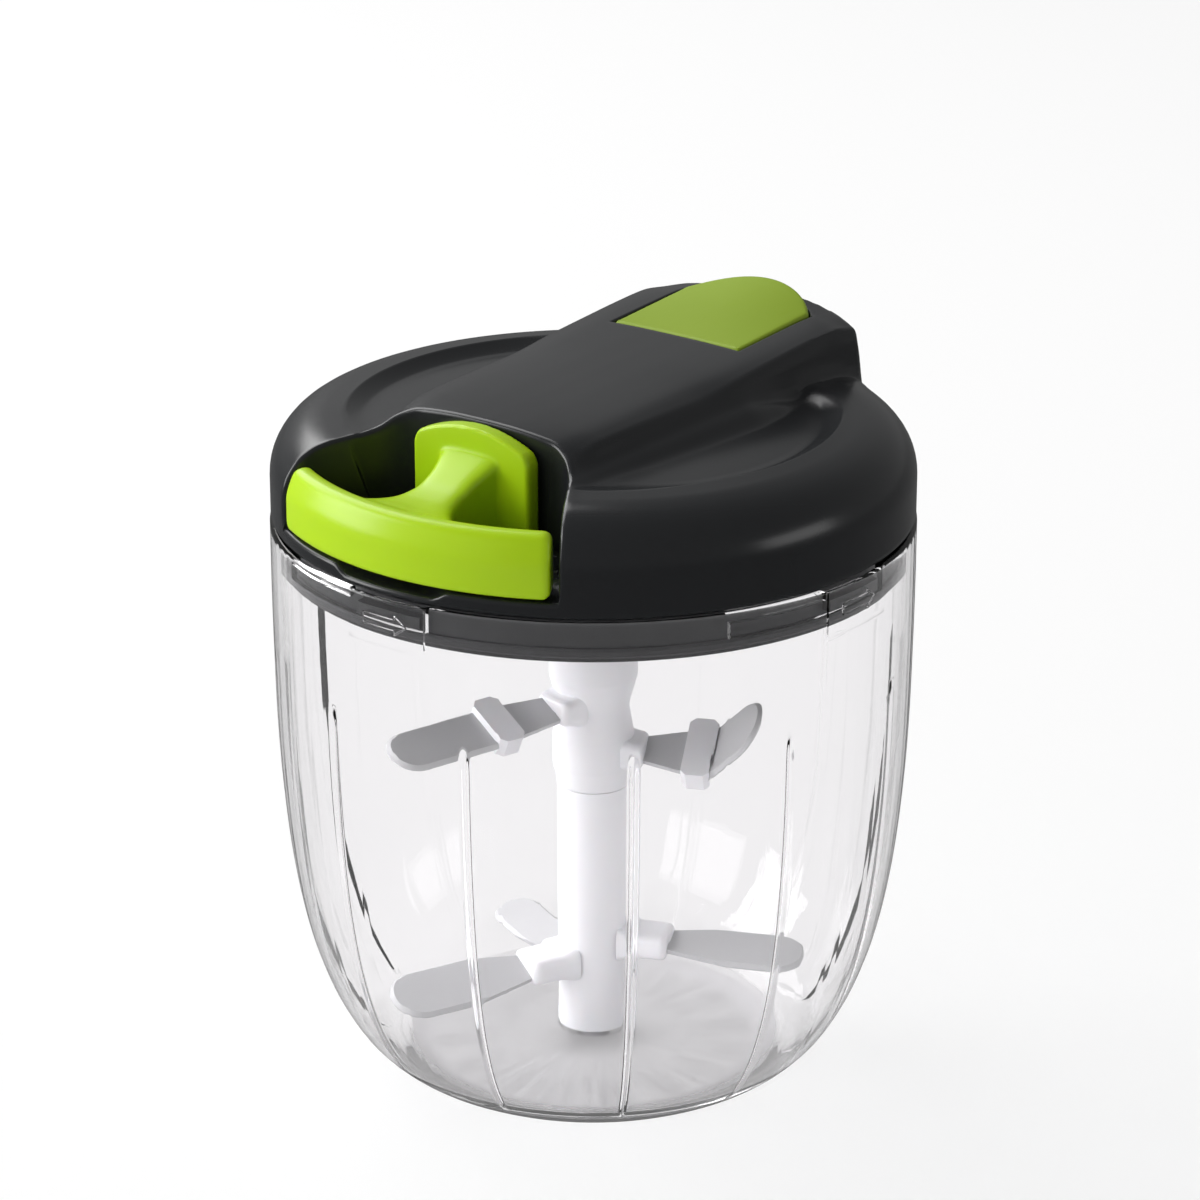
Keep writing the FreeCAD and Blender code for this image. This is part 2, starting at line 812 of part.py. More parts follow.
def group(label, parts):
    """Several separate solids in one node."""
    feature = doc.addObject("Part::Compound", label)
    feature.Links = list(parts)
    return feature


def extruded(label, points, low, high, plane="XY"):
    """Outline raised between two levels, outside any body."""
    low = as_size(low)
    sketch = doc.addObject("Sketcher::SketchObject", label + "_outline")
    turns = {"XY": Rotation(), "XZ": Rotation(Vector(1, 0, 0), 90)}
    sketch.Placement = Placement(Vector(0, 0, 0), turns[plane])
    draw(sketch, points)
    feature = doc.addObject("Part::Extrusion", label)
    feature.Base = sketch
    feature.DirMode = "Custom"
    feature.Dir = Vector(0, 0, 1) if plane == "XY" else Vector(0, 1, 0)
    bind(feature, "LengthFwd", as_size(high) - low)
    feature.Solid = True
    return place(feature, 0, 0, low) if plane == "XY" else place(feature, 0, low, 0)


def ridge_solid(label, inset, front, rear, bottom):
    """Arched ridge along Y, lofted through three sections and inset all round."""
    sections = []
    flare = size.ridge_flare
    places = [
        (size.ridge_front, size.ridge_front_half, size.ridge_front_edge, size.ridge_front_crown, front),
        (size.ridge_mid, size.ridge_mid_half, size.ridge_mid_edge, size.ridge_mid_crown, None),
        (size.ridge_rear, size.ridge_rear_half, size.ridge_rear_edge, size.ridge_rear_crown, rear),
    ]
    for number, (along, half, edge, crown, moved) in enumerate(places, start=1):
        along = along if moved is None else moved
        wide, side, top = half - inset, edge - inset, crown - inset
        height = top - side
        arc = (wide * wide + height * height) / (height * 2)
        points = [(-wide - flare, bottom), (wide + flare, bottom), (wide, side, arc, "right"), (-wide, side)]
        sketch = doc.addObject("Sketcher::SketchObject", f"{label}_section_{number}")
        sketch.Placement = Placement(Vector(0, along.value, 0), Rotation(Vector(1, 0, 0), 90))
        sketch.setExpression("Placement.Base.y", along.formula)
        draw(sketch, points)
        sections.append(sketch)
    feature = doc.addObject("Part::Loft", label)
    feature.Sections = sections
    feature.Solid = True
    feature.Ruled = False
    return feature


def sector(label, low, high, back, spread):
    """Wedge of the pocket in plan: a straight back and two sides that point at the axis."""
    angle = size.pocket_half_angle
    reach = size.lid_radius * 1.3
    side_back = -back * sine(angle) / cosine(angle) + as_size(spread) / cosine(angle)
    points = [
        (-side_back, back),
        (-(reach * sine(angle) + as_size(spread) * cosine(angle)), -reach * cosine(angle)),
        (reach * sine(angle) + as_size(spread) * cosine(angle), -reach * cosine(angle)),
        (side_back, back),
    ]
    return extruded(label, points, low, high)


def button_outline(grow):
    """Plan of the vent button: straight front and sides with a bulged rear end."""
    front, half = size.button_front - grow, size.button_half + grow
    side_end = size.button_front + size.button_straight
    end = size.button_bulge + grow
    arc = (half * half + end * end) / (end * 2)
    return [(-half, front), (half, front), (half, side_end, arc, "right"), (-half, side_end)]


def dome_profile():
    """Outer outline of the lid: edge, upright side, round shoulder and shallow dome."""
    ring_radius = size.lid_radius - size.shoulder_arc
    span = size.dome_arc - size.shoulder_arc
    drop = root(span * span - ring_radius * ring_radius)
    meet_x = size.dome_arc * ring_radius / span
    meet_z = size.shoulder_height - drop + size.dome_arc * drop / span
    top = size.shoulder_height - drop + size.dome_arc
    return [
        (0, size.cover_edge),
        (size.lid_radius, size.cover_edge),
        (size.lid_radius, size.shoulder_height, size.shoulder_arc, "right"),
        (meet_x, meet_z, size.dome_arc, "right"),
        (0, top),
    ]


def scoops():
    """Two long thumb hollows, one each side of the ridge."""
    hollows = []
    for side, name in ((-1, "left"), (1, "right")):
        hollow = doc.addObject("Part::Ellipsoid", f"scoop_{name}")
        bind(hollow, "Radius1", size.scoop_depth * 1.8)
        bind(hollow, "Radius2", size.scoop_radius)
        bind(hollow, "Radius3", size.scoop_radius * 0.52)
        hollow.Angle1 = -90
        hollow.Angle2 = 90
        place(hollow, (size.scoop_offset - size.scoop_radius * 0.3) * side, size.ridge_mid,
              size.shoulder_height + size.shoulder_arc + size.scoop_depth * 1.45, turn=90)
        hollows.append(hollow)
    return hollows


def make_lid_cover():
    """Dark cover: dome, ridge and scoops outside, hollow inside, with the handle pocket."""
    dome = turned("dome", dome_profile())
    scooped = cut("scooped_dome", dome, *scoops())
    ridge = ridge_solid("ridge", as_size(0), size.ridge_front, size.ridge_rear, size.cavity_top)
    limit = cylinder("ridge_limit", size.ridge_end_radius, size.cavity_top - PAST,
                     size.ridge_mid_crown + ABOVE)
    outer = fuse("cover_outer", scooped, common("ridge_trimmed", ridge, limit))
    hollow = cover_hollow()
    pocket = sector("pocket", size.pocket_floor, size.ridge_mid_crown + ABOVE, size.ridge_front, 0)
    notch = doc.addObject("Part::Cylinder", "finger_notch")
    bind(notch, "Radius", size.notch_radius)
    bind(notch, "Height", size.notch_length + PAST)
    place(notch, 0, -size.lid_radius + size.notch_length,
          size.pocket_floor - size.notch_depth + size.notch_radius, axis=(1, 0, 0), turn=90)
    well = extruded("button_well", button_outline(size.button_gap), well_floor(), size.button_top + ABOVE)
    bores = [
        cylinder("stem_way", size.stem_radius + size.running_gap, size.cavity_top, size.button_top,
                 0, size.stem_place),
        cylinder("top_bearing_bore", size.top_bearing_radius, size.shaft_top,
                 top_boss_bottom() + size.top_bearing_height),
    ]
    top = size.screw_boss_split + size.cover_screw_length
    for number, bearing in enumerate(COVER_SCREW_BEARINGS, start=1):
        x, y = polar_point(size.cover_screw_circle, bearing)
        bores.append(cylinder(f"pilot_{number}", size.cover_screw_radius + size.running_gap,
                              size.screw_boss_split - PAST, top, x, y))
    eyelet = doc.addObject("Part::Cylinder", "eyelet_hole")
    bind(eyelet, "Radius", size.eyelet_radius)
    bind(eyelet, "Height", size.pocket_wall + PAST * 2)
    place(eyelet, 0, size.ridge_front + size.pocket_wall + PAST, cord_level(), axis=(1, 0, 0), turn=90)
    return cut("lid_cover", outer, hollow, pocket, notch, well, eyelet, *bores)


def well_floor():
    """Floor of the well that the vent button sinks into."""
    return size.button_bottom - size.button_travel - size.air_gap


def top_boss_bottom():
    """Underside of the cover's boss for the upper bearing, clear of the shaft's shoulder."""
    return size.shaft_top + size.air_gap * 2


def cover_hollow():
    """Everything inside the cover: the round cavity and the ridge's hollow, less what stands in it."""
    inner = size.lid_radius - size.cover_wall
    slope = size.cavity_top - size.shoulder_height
    cavity = turned("round_cavity", [
        (0, size.cover_edge - PAST),
        (inner, size.cover_edge - PAST),
        (inner, size.shoulder_height),
        (inner - slope * 0.6, size.cavity_top),
        (0, size.cavity_top),
    ])
    ridge_hollow = ridge_solid("ridge_hollow", size.ridge_wall, size.ridge_front + size.pocket_wall,
                               size.ridge_rear, size.cavity_top - PAST)
    limit = cylinder("hollow_limit", size.ridge_end_radius - size.ridge_wall, size.cavity_top - PAST * 2,
                     size.ridge_mid_crown + ABOVE)
    space = fuse("cover_space", cavity, common("ridge_hollow_trimmed", ridge_hollow, limit))
    keep = [
        sector("pocket_box", size.bowl_height + size.flange_thick, size.ridge_mid_crown + ABOVE,
               size.ridge_front + size.pocket_wall, size.pocket_wall),
        extruded("well_box", button_outline(size.button_gap + size.well_wall),
                 well_floor() - size.well_wall, size.button_top + ABOVE),
        cylinder("stem_guide", size.stem_radius + size.well_wall,
                 size.stem_clip_height + size.stem_clip_thick + size.running_gap,
                 size.button_bottom - size.button_travel, 0, size.stem_place),
        cylinder("top_boss", size.top_boss_radius, top_boss_bottom(), size.ridge_mid_crown),
    ]
    for number, bearing in enumerate(COVER_SCREW_BEARINGS, start=1):
        x, y = polar_point(size.cover_screw_circle, bearing)
        keep.append(cylinder(f"cover_boss_{number}", size.screw_boss_radius - size.air_gap * 2,
                             size.screw_boss_split, size.cavity_top + PAST, x, y))
    return cut("cover_hollow", space, *keep)


def cord_level():
    """Height of the cord's outgoing run, which is the winding's last turn."""
    low = reel_groove_bottom()
    return low + size.groove_height / 2 + size.cord_pitch * size.cord_turns / 2


def reel_bottom():
    """Underside of the reel's lower flange, a running gap above the spring cover."""
    cover_low = size.base_bottom + size.base_plate + size.housing_height
    return cover_low + size.spring_cover_thick + size.air_gap


def reel_groove_bottom():
    """Top of the reel's lower flange."""
    return reel_bottom() + size.reel_flange


def boss_top():
    """Top face of the bearing boss of the lid base."""
    return size.base_bottom + size.bearing_boss_rise


def seal_bottom():
    """Lower face of the shaft seal, on the lip of the bearing boss."""
    return size.base_bottom - size.bearing_boss_drop + size.lip_thick


def make_shaft_pieces():
    """Drive shaft with its seal and its two bushes."""
    bore = size.shaft_radius + size.running_gap
    seal_top = seal_bottom() + size.shaft_seal_height
    return {
        "drive_shaft": make_drive_shaft(),
        "shaft_seal": ring("shaft_seal", bore, size.bearing_radius, seal_bottom(), seal_top),
        "lower_bearing": ring("lower_bearing", bore, size.bearing_radius, seal_top, boss_top()),
        "upper_bearing": ring("upper_bearing", size.top_pin_radius + size.running_gap,
                              size.top_bearing_radius, top_boss_bottom(),
                              top_boss_bottom() + size.top_bearing_height),
    }


def make_drive_shaft():
    """Steel shaft: hexagon below, journal with a collar, thin pin on top."""
    body = new_body("drive_shaft")
    collar_low = boss_top() + size.running_gap
    collar_high = collar_low + size.collar_height
    revolve(body, "journal", [
        (0, size.hex_top),
        (size.shaft_radius, size.hex_top),
        (size.shaft_radius, collar_low),
        (size.collar_radius, collar_low),
        (size.collar_radius, collar_high),
        (size.shaft_radius, collar_high),
        (size.shaft_radius, size.shaft_top),
        (size.top_pin_radius, size.shaft_top),
        (size.top_pin_radius, size.shaft_top + size.top_pin_height),
        (0, size.shaft_top + size.top_pin_height),
    ])
    pad(body, "hexagon", hexagon(size.hex_flats / 2), size.shaft_bottom, size.hex_top + PAST)
    return body


def hexagon(half_flats):
    """Corners of a hexagon with flats across X."""
    corner = as_size(half_flats) / math.cos(math.radians(30))
    return [polar_point(corner, 60 * step + 30) for step in range(6)]


def make_spring_pieces():
    """Cup for the rewind spring with its cover, screws and the flat spiral spring."""
    floor = size.base_bottom + size.base_plate
    wall_in = size.housing_radius - size.housing_wall
    cup = turned("spring_cup", [
        (size.bearing_boss_radius + size.air_gap, floor),
        (size.housing_radius, floor),
        (size.housing_radius, floor + size.housing_height),
        (wall_in, floor + size.housing_height),
        (wall_in, floor + size.housing_floor),
        (size.bearing_boss_radius + size.air_gap, floor + size.housing_floor),
    ])
    tab_low = size.base_bottom + size.base_plate * 2
    tab_high = tab_low + size.tab_height
    tabs, bores, screws = [], [], []
    for number, bearing in enumerate(TAB_BEARINGS, start=1):
        x, y = polar_point(size.tab_circle, bearing)
        tabs.append(cylinder(f"tab_{number}", size.tab_radius, tab_low, tab_high, x, y))
        neck = doc.addObject("Part::Box", f"tab_neck_{number}")
        bind(neck, "Length", size.tab_circle - wall_in - size.air_gap)
        bind(neck, "Width", size.tab_radius * 2)
        bind(neck, "Height", size.tab_height)
        start_x, start_y = polar_point(wall_in + size.air_gap, bearing)
        side_x, side_y = polar_point(size.tab_radius, bearing - 90)
        place(neck, start_x + side_x, start_y + side_y, tab_low, turn=bearing)
        tabs.append(neck)
        bores.append(cylinder(f"tab_bore_{number}", size.tab_screw_radius + size.screw_fit,
                              tab_low - PAST, tab_high + PAST, x, y))
        length = size.tab_height + size.base_plate * 1.3
        screws.append(screw(f"tab_screw_{number}", size.screw_head_radius * 0.85, size.screw_head_height,
                            size.tab_screw_radius, length, x, y, tab_high, False))
    housing = cut("spring_housing", fuse("spring_housing_blank", cup, *tabs), *bores)
    cover_low = floor + size.housing_height
    cover = ring("spring_cover", size.arbor_radius + size.air_gap * 2, size.housing_radius, cover_low,
                 cover_low + size.spring_cover_thick)
    return {
        "spring_housing": housing,
        "spring_cover": cover,
        "housing_screws": group("housing_screws", screws),
        "main_spring": make_main_spring(),
    }


def make_main_spring():
    """Flat strip wound into a spiral of half circles, with its ends at the arbor and the cup."""
    turns = int(sheet.get("spring_turns"))
    inner, outer = sheet.get("spring_inner"), sheet.get("spring_outer")
    half_strip = sheet.get("spring_strip") / 2
    step = (outer - inner) / (turns * 2)
    edges = {half_strip: [], -half_strip: []}
    for number in range(turns * 2):
        radius = inner + step * (number + 0.5)
        centre = Vector(step / 2 if number % 2 else -step / 2, 0, 0)
        side = 1 if number % 2 == 0 else -1
        for offset, kept in edges.items():
            reach = radius + offset
            start, end = centre + Vector(reach * side, 0, 0), centre - Vector(reach * side, 0, 0)
            kept.append(Part.Arc(start, centre + Vector(0, reach * side, 0), end).toShape())
    gap = step * 2 - half_strip * 2
    print("main_spring: least gap between turns", round(gap, 3))
    outer_start, inner_start = (kept[0].Vertexes[0].Point for kept in edges.values())
    outer_end, inner_end = (kept[-1].Vertexes[-1].Point for kept in edges.values())
    lines = [Part.makeLine(outer_start, inner_start), Part.makeLine(outer_end, inner_end)]
    wire = Part.Wire(Part.__sortEdges__(edges[half_strip] + edges[-half_strip] + lines))
    strip = Part.Face(wire).extrude(Vector(0, 0, sheet.get("spring_height")))
    feature = doc.addObject("Part::Feature", "main_spring")
    feature.Shape = strip
    floor = sheet.get("base_bottom") + sheet.get("base_plate") + sheet.get("housing_floor")
    feature.Placement = Placement(Vector(0, 0, floor + sheet.get("air_gap") * 2), Rotation())
    return feature


def make_reel_pieces():
    """Cord reel with the roller clutch in its top."""
    low = reel_bottom()
    groove = reel_groove_bottom()
    high = groove + size.groove_height
    top = high + size.reel_flange
    arbor_low = boss_top() + size.running_gap + size.collar_height + size.air_gap
    bore = size.shaft_radius + size.running_gap
    seat = groove + size.reel_flange * 0.3
    race_top = top - size.clutch_cap
    reel = turned("cord_reel", [
        (bore, arbor_low),
        (size.arbor_radius, arbor_low),
        (size.arbor_radius, low),
        (size.reel_radius, low),
        (size.reel_radius, groove),
        (size.drum_radius, groove),
        (size.drum_radius, high),
        (size.reel_radius, high),
        (size.reel_radius, top),
        (size.race_radius, top),
        (size.race_radius, seat),
        (bore, seat),
    ])
    blank = ring("race_blank", size.shaft_radius + size.air_gap, size.race_radius, seat, race_top)
    circle = size.shaft_radius + size.roller_radius + size.running_gap
    count = int(sheet.get("roller_count"))
    wells, rollers = [], []
    for number in range(count):
        bearing = 360.0 / count * number
        for name, lead, spread in (("seat", 0, size.screw_fit), ("ramp", ROLLER_RAMP, size.air_gap)):
            x, y = polar_point(circle + spread * 0.8, bearing + lead)
            wells.append(cylinder(f"roller_{name}_{number}", size.roller_radius + spread, seat - PAST,
                                  race_top + PAST, x, y))
        x, y = polar_point(circle, bearing)
        rollers.append(cylinder(f"roller_{number}", size.roller_radius, seat + size.running_gap,
                                race_top - size.running_gap, x, y))
    return {
        "cord_reel": reel,
        "clutch_race": cut("clutch_race", blank, *wells),
        "clutch_rollers": group("clutch_rollers", rollers),
        "clutch_cap": ring("clutch_cap", size.shaft_radius + size.air_gap, size.race_radius, race_top, top),
    }


def winding_radius():
    """Radius of the middle of the cord on its outer layer."""
    return sheet.get("cord_core_radius") + sheet.get("cord_radius") + sheet.get("running_gap")


def eyelet_corner():
    """Where the cord turns towards the handle, just inside the pocket's back wall."""
    inside = sheet.get("pocket_wall") + sheet.get("cord_inset")
    return Vector(0, sheet.get("ridge_front") + inside, cord_level().value)


def cord_departure():
    """Bearing in radians at which the cord leaves the winding for the eyelet."""
    corner = eyelet_corner()
    return math.atan2(corner.y, corner.x) + math.acos(winding_radius() / math.hypot(corner.x, corner.y))


def tangent_arc(start, corner, end):
    """Arc that touches the lines from its ends to a corner equally far from both."""
    chord = (end - start).Length / 2
    weight = chord / (corner - start).Length
    middle = (start + end + corner * (weight * 2)) / ((1 + weight) * 2)
    return Part.Arc(start, middle, end).toShape()


def biarc(start, leaving, end, arriving):
    """Two arcs, each in its own plane, that join two points smoothly in two given directions."""
    span, both = end - start, leaving + arriving
    spread = 2 * (1 - leaving.dot(arriving))
    lean = span.dot(both)
    reach = (math.sqrt(lean * lean + spread * span.dot(span)) - lean) / spread
    first, second = start + leaving * reach, end - arriving * reach
    joint = (first + second) / 2
    return [tangent_arc(start, first, joint), tangent_arc(joint, second, end)]


def helix_wire(radius, pitch, turns, last_angle, last_level):
    """Rising clockwise helix, made of a pair of arcs for each quarter turn, that ends at a bearing."""
    slope = pitch / (2 * math.pi * radius)
    spots, ways = [], []
    for step in range(int(turns * 4), -1, -1):
        angle = last_angle + step * math.pi / 2
        spots.append(Vector(radius * math.cos(angle), radius * math.sin(angle), last_level - pitch * step / 4))
        ways.append(Vector(math.sin(angle), -math.cos(angle), slope).normalize())
    edges = []
    for index in range(len(spots) - 1):
        edges += biarc(spots[index], ways[index], spots[index + 1], ways[index + 1])
    return Part.Wire(edges)


def tube(wire, radius):
    """Round tube along a wire."""
    first = wire.Edges[0]
    start = first.valueAt(first.FirstParameter)
    heading = first.tangentAt(first.FirstParameter)
    if (wire.Vertexes[0].Point - start).Length > 1e-6:
        start, heading = first.valueAt(first.LastParameter), first.tangentAt(first.LastParameter)
    profile = Part.Wire(Part.makeCircle(radius, start, heading))
    solid = wire.makePipeShell([profile], True, False)
    share = solid.Volume / (math.pi * radius * radius * wire.Length)
    print("tube: volume over section times length", round(share, 4))
    return solid


def make_cord_pieces():
    """Cord: its wound layers on the drum, its run through the eyelet and its end bead."""
    radius, cord = winding_radius(), sheet.get("cord_radius")
    level = cord_level().value
    departure = cord_departure()
    coil = helix_wire(radius, sheet.get("cord_pitch"), sheet.get("cord_turns"), departure, level)
    print("cord_winding: least gap between turns", round(sheet.get("cord_pitch") - cord * 2, 3))
    core = ring("cord_core", size.drum_radius, size.cord_core_radius,
                reel_groove_bottom() + size.running_gap,
                reel_groove_bottom() + size.groove_height - size.running_gap)
    outer = doc.addObject("Part::Feature", "cord_outer_turns")
    outer.Shape = tube(coil, cord)
    leaving = Vector(radius * math.cos(departure), radius * math.sin(departure), level)
    corner = eyelet_corner()
    bead = Vector(0, bead_place().value, level)
    first, second = (corner - leaving).normalize(), (bead - corner).normalize()
    turn = math.acos(first.dot(second))
    bend = sheet.get("cord_bend")
    back = bend * math.tan(turn / 2)
    print("cord_run: turn in degrees", round(math.degrees(turn), 1), "radius", bend)
    before, after = corner - first * back, corner + second * back
    centre_way = (second - first).normalize()
    middle = corner + centre_way * (bend / math.cos(turn / 2) - bend)
    route = Part.Wire([
        Part.makeLine(leaving, before),
        Part.Arc(before, middle, after).toShape(),
        Part.makeLine(after, bead - second * sheet.get("stop_radius")),
    ])
    run = doc.addObject("Part::Feature", "cord_run")
    run.Shape = tube(route, cord)
    wound = 2 * math.pi * (radius - cord) * sheet.get("cord_turns") * 2
    print("cord length: wound", round(wound, 1), "run", round(route.Length, 1))
    stop = doc.addObject("Part::Sphere", "cord_stop")
    bind(stop, "Radius", size.stop_radius)
    stop.Angle1 = -90
    place(stop, 0, bead_place(), cord_level())
    return {"cord_winding": group("cord_winding", [core, outer]), "cord_run": run, "cord_stop": stop}


def bead_place():
    """Y of the bead that ends the cord, inside the handle's neck."""
    return size.ridge_front - size.plate_gap - size.plate_thick - size.stop_slot - size.stop_depth


def make_eyelet():
    """Polished ring that guides the cord through the pocket's back wall."""
    body = new_body("cord_eyelet")
    back = size.ridge_front + size.pocket_wall
    rise = back + size.eyelet_rise
    revolve(body, "eyelet_turn", [
        (size.eyelet_bore, -back),
        (size.eyelet_bore + size.eyelet_rise, -rise),
        (size.eyelet_lip, -rise),
        (size.eyelet_lip, -back),
        (size.eyelet_radius, -back),
        (size.eyelet_radius, -size.ridge_front),
        (size.eyelet_bore, -size.ridge_front),
    ])
    body.Placement = Placement(Vector(0, 0, cord_level().value), Rotation(Vector(1, 0, 0), 90))
    body.setExpression("Placement.Base.z", cord_level().formula)
    return body


def make_handle():
    """Green pull handle: curved bar, flared neck and the arch-topped plate."""
    low = size.pocket_floor + size.handle_lift
    high = low + size.handle_height
    inner = size.handle_radius - size.handle_depth
    corner, edge = size.handle_round, size.handle_edge
    bar = new_body("handle_bar")
    revolve(bar, "bar_turn", [
        (inner + edge, low),
        (size.handle_radius - edge, low),
        (size.handle_radius, low + edge),
        (size.handle_radius, high - corner, corner, "right"),
        (size.handle_radius - corner, high),
        (inner + corner, high, corner, "right"),
        (inner, high - corner),
        (inner, low + edge),
    ], angle=size.handle_half_angle * 2, turn=-90)
    back = size.ridge_front - size.plate_gap
    front = back - size.plate_thick
    half = size.plate_half
    rise = size.plate_crown - size.plate_side_top
    arch = (half * half + rise * rise) / (rise * 2)
    plate = extruded("handle_plate", [
        (-half, low),
        (half, low),
        (half, size.plate_side_top, arch, "right"),
        (-half, size.plate_side_top),
    ], front, back, plane="XZ")
    bar_line = -(inner + corner)
    flare = (front - bar_line) * size.flare_share
    middle_front = front - flare
    neck = extruded("handle_neck", [
        (-size.neck_flare, front + size.air_gap),
        (-size.neck_flare, front, flare, "left"),
        (-size.neck_half, middle_front),
        (-size.neck_half, bar_line + flare * 0.8, flare, "left"),
        (-size.neck_flare, bar_line),
        (size.neck_flare, bar_line, flare, "left"),
        (size.neck_half, bar_line + flare * 0.8),
        (size.neck_half, middle_front, flare, "left"),
        (size.neck_flare, front),
        (size.neck_flare, front + size.air_gap),
    ], size.neck_bottom, size.neck_top)
    blank = fuse("handle_blank", bar, plate, neck)
    bore = doc.addObject("Part::Cylinder", "cord_bore")
    bind(bore, "Radius", size.cord_radius + size.air_gap)
    bind(bore, "Height", back - bead_place() + PAST)
    place(bore, 0, back + PAST, cord_level(), axis=(1, 0, 0), turn=90)
    slot = doc.addObject("Part::Box", "bead_slot")
    bind(slot, "Length", size.stop_slot * 2)
    bind(slot, "Width", size.stop_slot * 2)
    bind(slot, "Height", cord_level() + size.stop_slot - size.neck_bottom + PAST)
    place(slot, -size.stop_slot, bead_place() - size.stop_slot, size.neck_bottom - PAST)
    return cut("pull_handle", blank, bore, slot)


def make_button_pieces():
    """Vent button with its stem, clip, seal and return spring."""
    low = size.button_bottom
    blank = extruded("button_blank", button_outline(as_size(0)), low, size.button_top + PAST)
    crown = doc.addObject("Part::Cylinder", "button_crown")
    bind(crown, "Radius", size.button_crown_arc)
    bind(crown, "Height", size.lid_radius * 1.3)
    rear = size.button_front + size.button_straight + size.button_bulge
    beyond = size.lid_radius * 0.4
    pitch = math.radians(BUTTON_PITCH)
    centre = size.button_top - size.button_crown_arc / math.cos(pitch) + beyond * math.tan(pitch)
    place(crown, 0, rear + beyond, centre, axis=(1, 0, 0), turn=90 + BUTTON_PITCH)
    cap = common("button_sharp", blank, crown)
    doc.recompute()
    rounded = doc.addObject("Part::Fillet", "button_cap")
    rounded.Base = cap
    radius = size.button_round.value
    rounded.Edges = [(number, radius, radius) for number, edge in enumerate(cap.Shape.Edges, start=1)
                     if edge.BoundBox.ZMin > size.button_bottom.value + size.air_gap.value
                     and edge.BoundBox.YMax > size.button_front.value + PAST]
    cap = rounded
    stem = cylinder("button_stem", size.stem_radius, size.stem_bottom, low + PAST, 0, size.stem_place)
    core = size.stem_radius - size.clip_bite
    neck = ring("stem_groove", core, size.stem_radius + PAST, size.stem_clip_height,
                size.stem_clip_height + size.stem_clip_thick)
    place(neck, 0, size.stem_place, 0)
    clip = ring("stem_clip", core, size.stem_clip_radius, size.stem_clip_height,
                size.stem_clip_height + size.stem_clip_thick)
    place(clip, 0, size.stem_place, 0)
    seal_top = size.base_bottom
    seal = ring("vent_seal", size.stem_radius, size.vent_seal_radius, seal_top - size.vent_seal_height,
                seal_top)
    place(seal, 0, size.stem_place, 0)
    return {
        "vent_button": cut("vent_button", fuse("button_joined", cap, stem), neck),
        "stem_clip": clip,
        "vent_seal": seal,
        "vent_spring": make_vent_spring(),
    }


def make_vent_spring():
    """Compression spring round the stem, between the base's guide and the clip."""
    wire = sheet.get("vent_spring_wire")
    clear = sheet.get("running_gap") * 2
    low = sheet.get("vent_boss_top") + wire + clear
    high = sheet.get("stem_clip_height") - wire - clear
    turns = sheet.get("vent_spring_turns")
    pitch = (high - low) / turns
    print("vent_spring: least gap between turns", round(pitch - wire * 2, 3))
    coil = helix_wire(sheet.get("vent_spring_radius"), pitch, turns, 0.0, high)
    feature = doc.addObject("Part::Feature", "vent_spring")
    feature.Shape = tube(coil, wire)
    feature.Placement = Placement(Vector(0, sheet.get("stem_place"), 0), Rotation())
    return feature


def make_column_pieces():
    """White blade column: lower hub with its bush, and the upper sleeve that takes the shaft."""
    hub_turn = turned("hub_turn", [
        (0, size.hub_bottom + size.bush_height),
        (size.bush_radius, size.hub_bottom + size.bush_height),
        (size.bush_radius, size.hub_bottom),
        (size.hub_radius, size.hub_bottom),
        (size.hub_radius, size.hub_top),
        (size.spigot_fit, size.hub_top),
        (size.spigot_fit, size.hub_top + size.spigot_height),
        (0, size.hub_top + size.spigot_height),
    ])
    sleeve = new_body("sleeve_turn")
    bore = size.spigot_fit
    revolve(sleeve, "sleeve_outline", [
        (bore, size.hub_top),
        (size.hub_radius, size.hub_top),
        (size.sleeve_radius, size.sleeve_shoulder),
        (size.sleeve_radius, size.sleeve_belly),
        (size.waist_radius, size.waist_level),
        (size.sleeve_top_radius, size.sleeve_top_start),
        (size.sleeve_top_radius, size.sleeve_top - size.sleeve_edge),
        (size.sleeve_top_radius - size.sleeve_edge, size.sleeve_top),
        (0, size.sleeve_top),
        (0, size.hub_top + size.spigot_height),
        (bore, size.hub_top + size.spigot_height),
    ])
    pad(sleeve, "socket", hexagon(size.hex_flats / 2 + size.hex_gap), size.socket_bottom,
        size.sleeve_top + PAST, kind="Pocket")
    hub_arms, sleeve_arms, collars, roots = [], [], [], {"hub": [], "sleeve": []}
    for name, leaf in BLADES.items():
        level, tip = blade_place(name)
        arm = make_arm(name + "_arm", level, leaf.bearing)
        root_solid = blade_solid(name + "_root", level, tip, leaf)
        if on_sleeve(level):
            sleeve_arms.append(arm)
            roots["sleeve"].append(root_solid)
            collars.append(make_collar(name + "_collar", level, tip, leaf, root_solid))
        else:
            hub_arms.append(arm)
            roots["hub"].append(root_solid)
    trim = cylinder("arm_trim", size.spigot_fit, size.hub_top, size.hub_top + size.spigot_height)
    hub = cut("blade_hub", fuse("hub_joined", hub_turn, *hub_arms), *roots["hub"])
    sleeve_solid = fuse("sleeve_joined", sleeve, cut("sleeve_arms", fuse("arms", *sleeve_arms), trim))
    bore_radius = size.pin_radius + size.running_gap
    bush = turned("hub_bush", [
        (bore_radius, size.hub_bottom),
        (size.bush_radius, size.hub_bottom),
        (size.bush_radius, size.hub_bottom + size.bush_height),
        (0, size.hub_bottom + size.bush_height),
        (0, size.pin_top + size.running_gap),
        (bore_radius, size.pin_top + size.running_gap),
    ])
    pieces = {
        "blade_hub": hub,
        "hub_sleeve": cut("hub_sleeve", sleeve_solid, *roots["sleeve"]),
        "blade_collars": group("blade_collars", collars),
        "hub_bush": bush,
    }
    return pieces


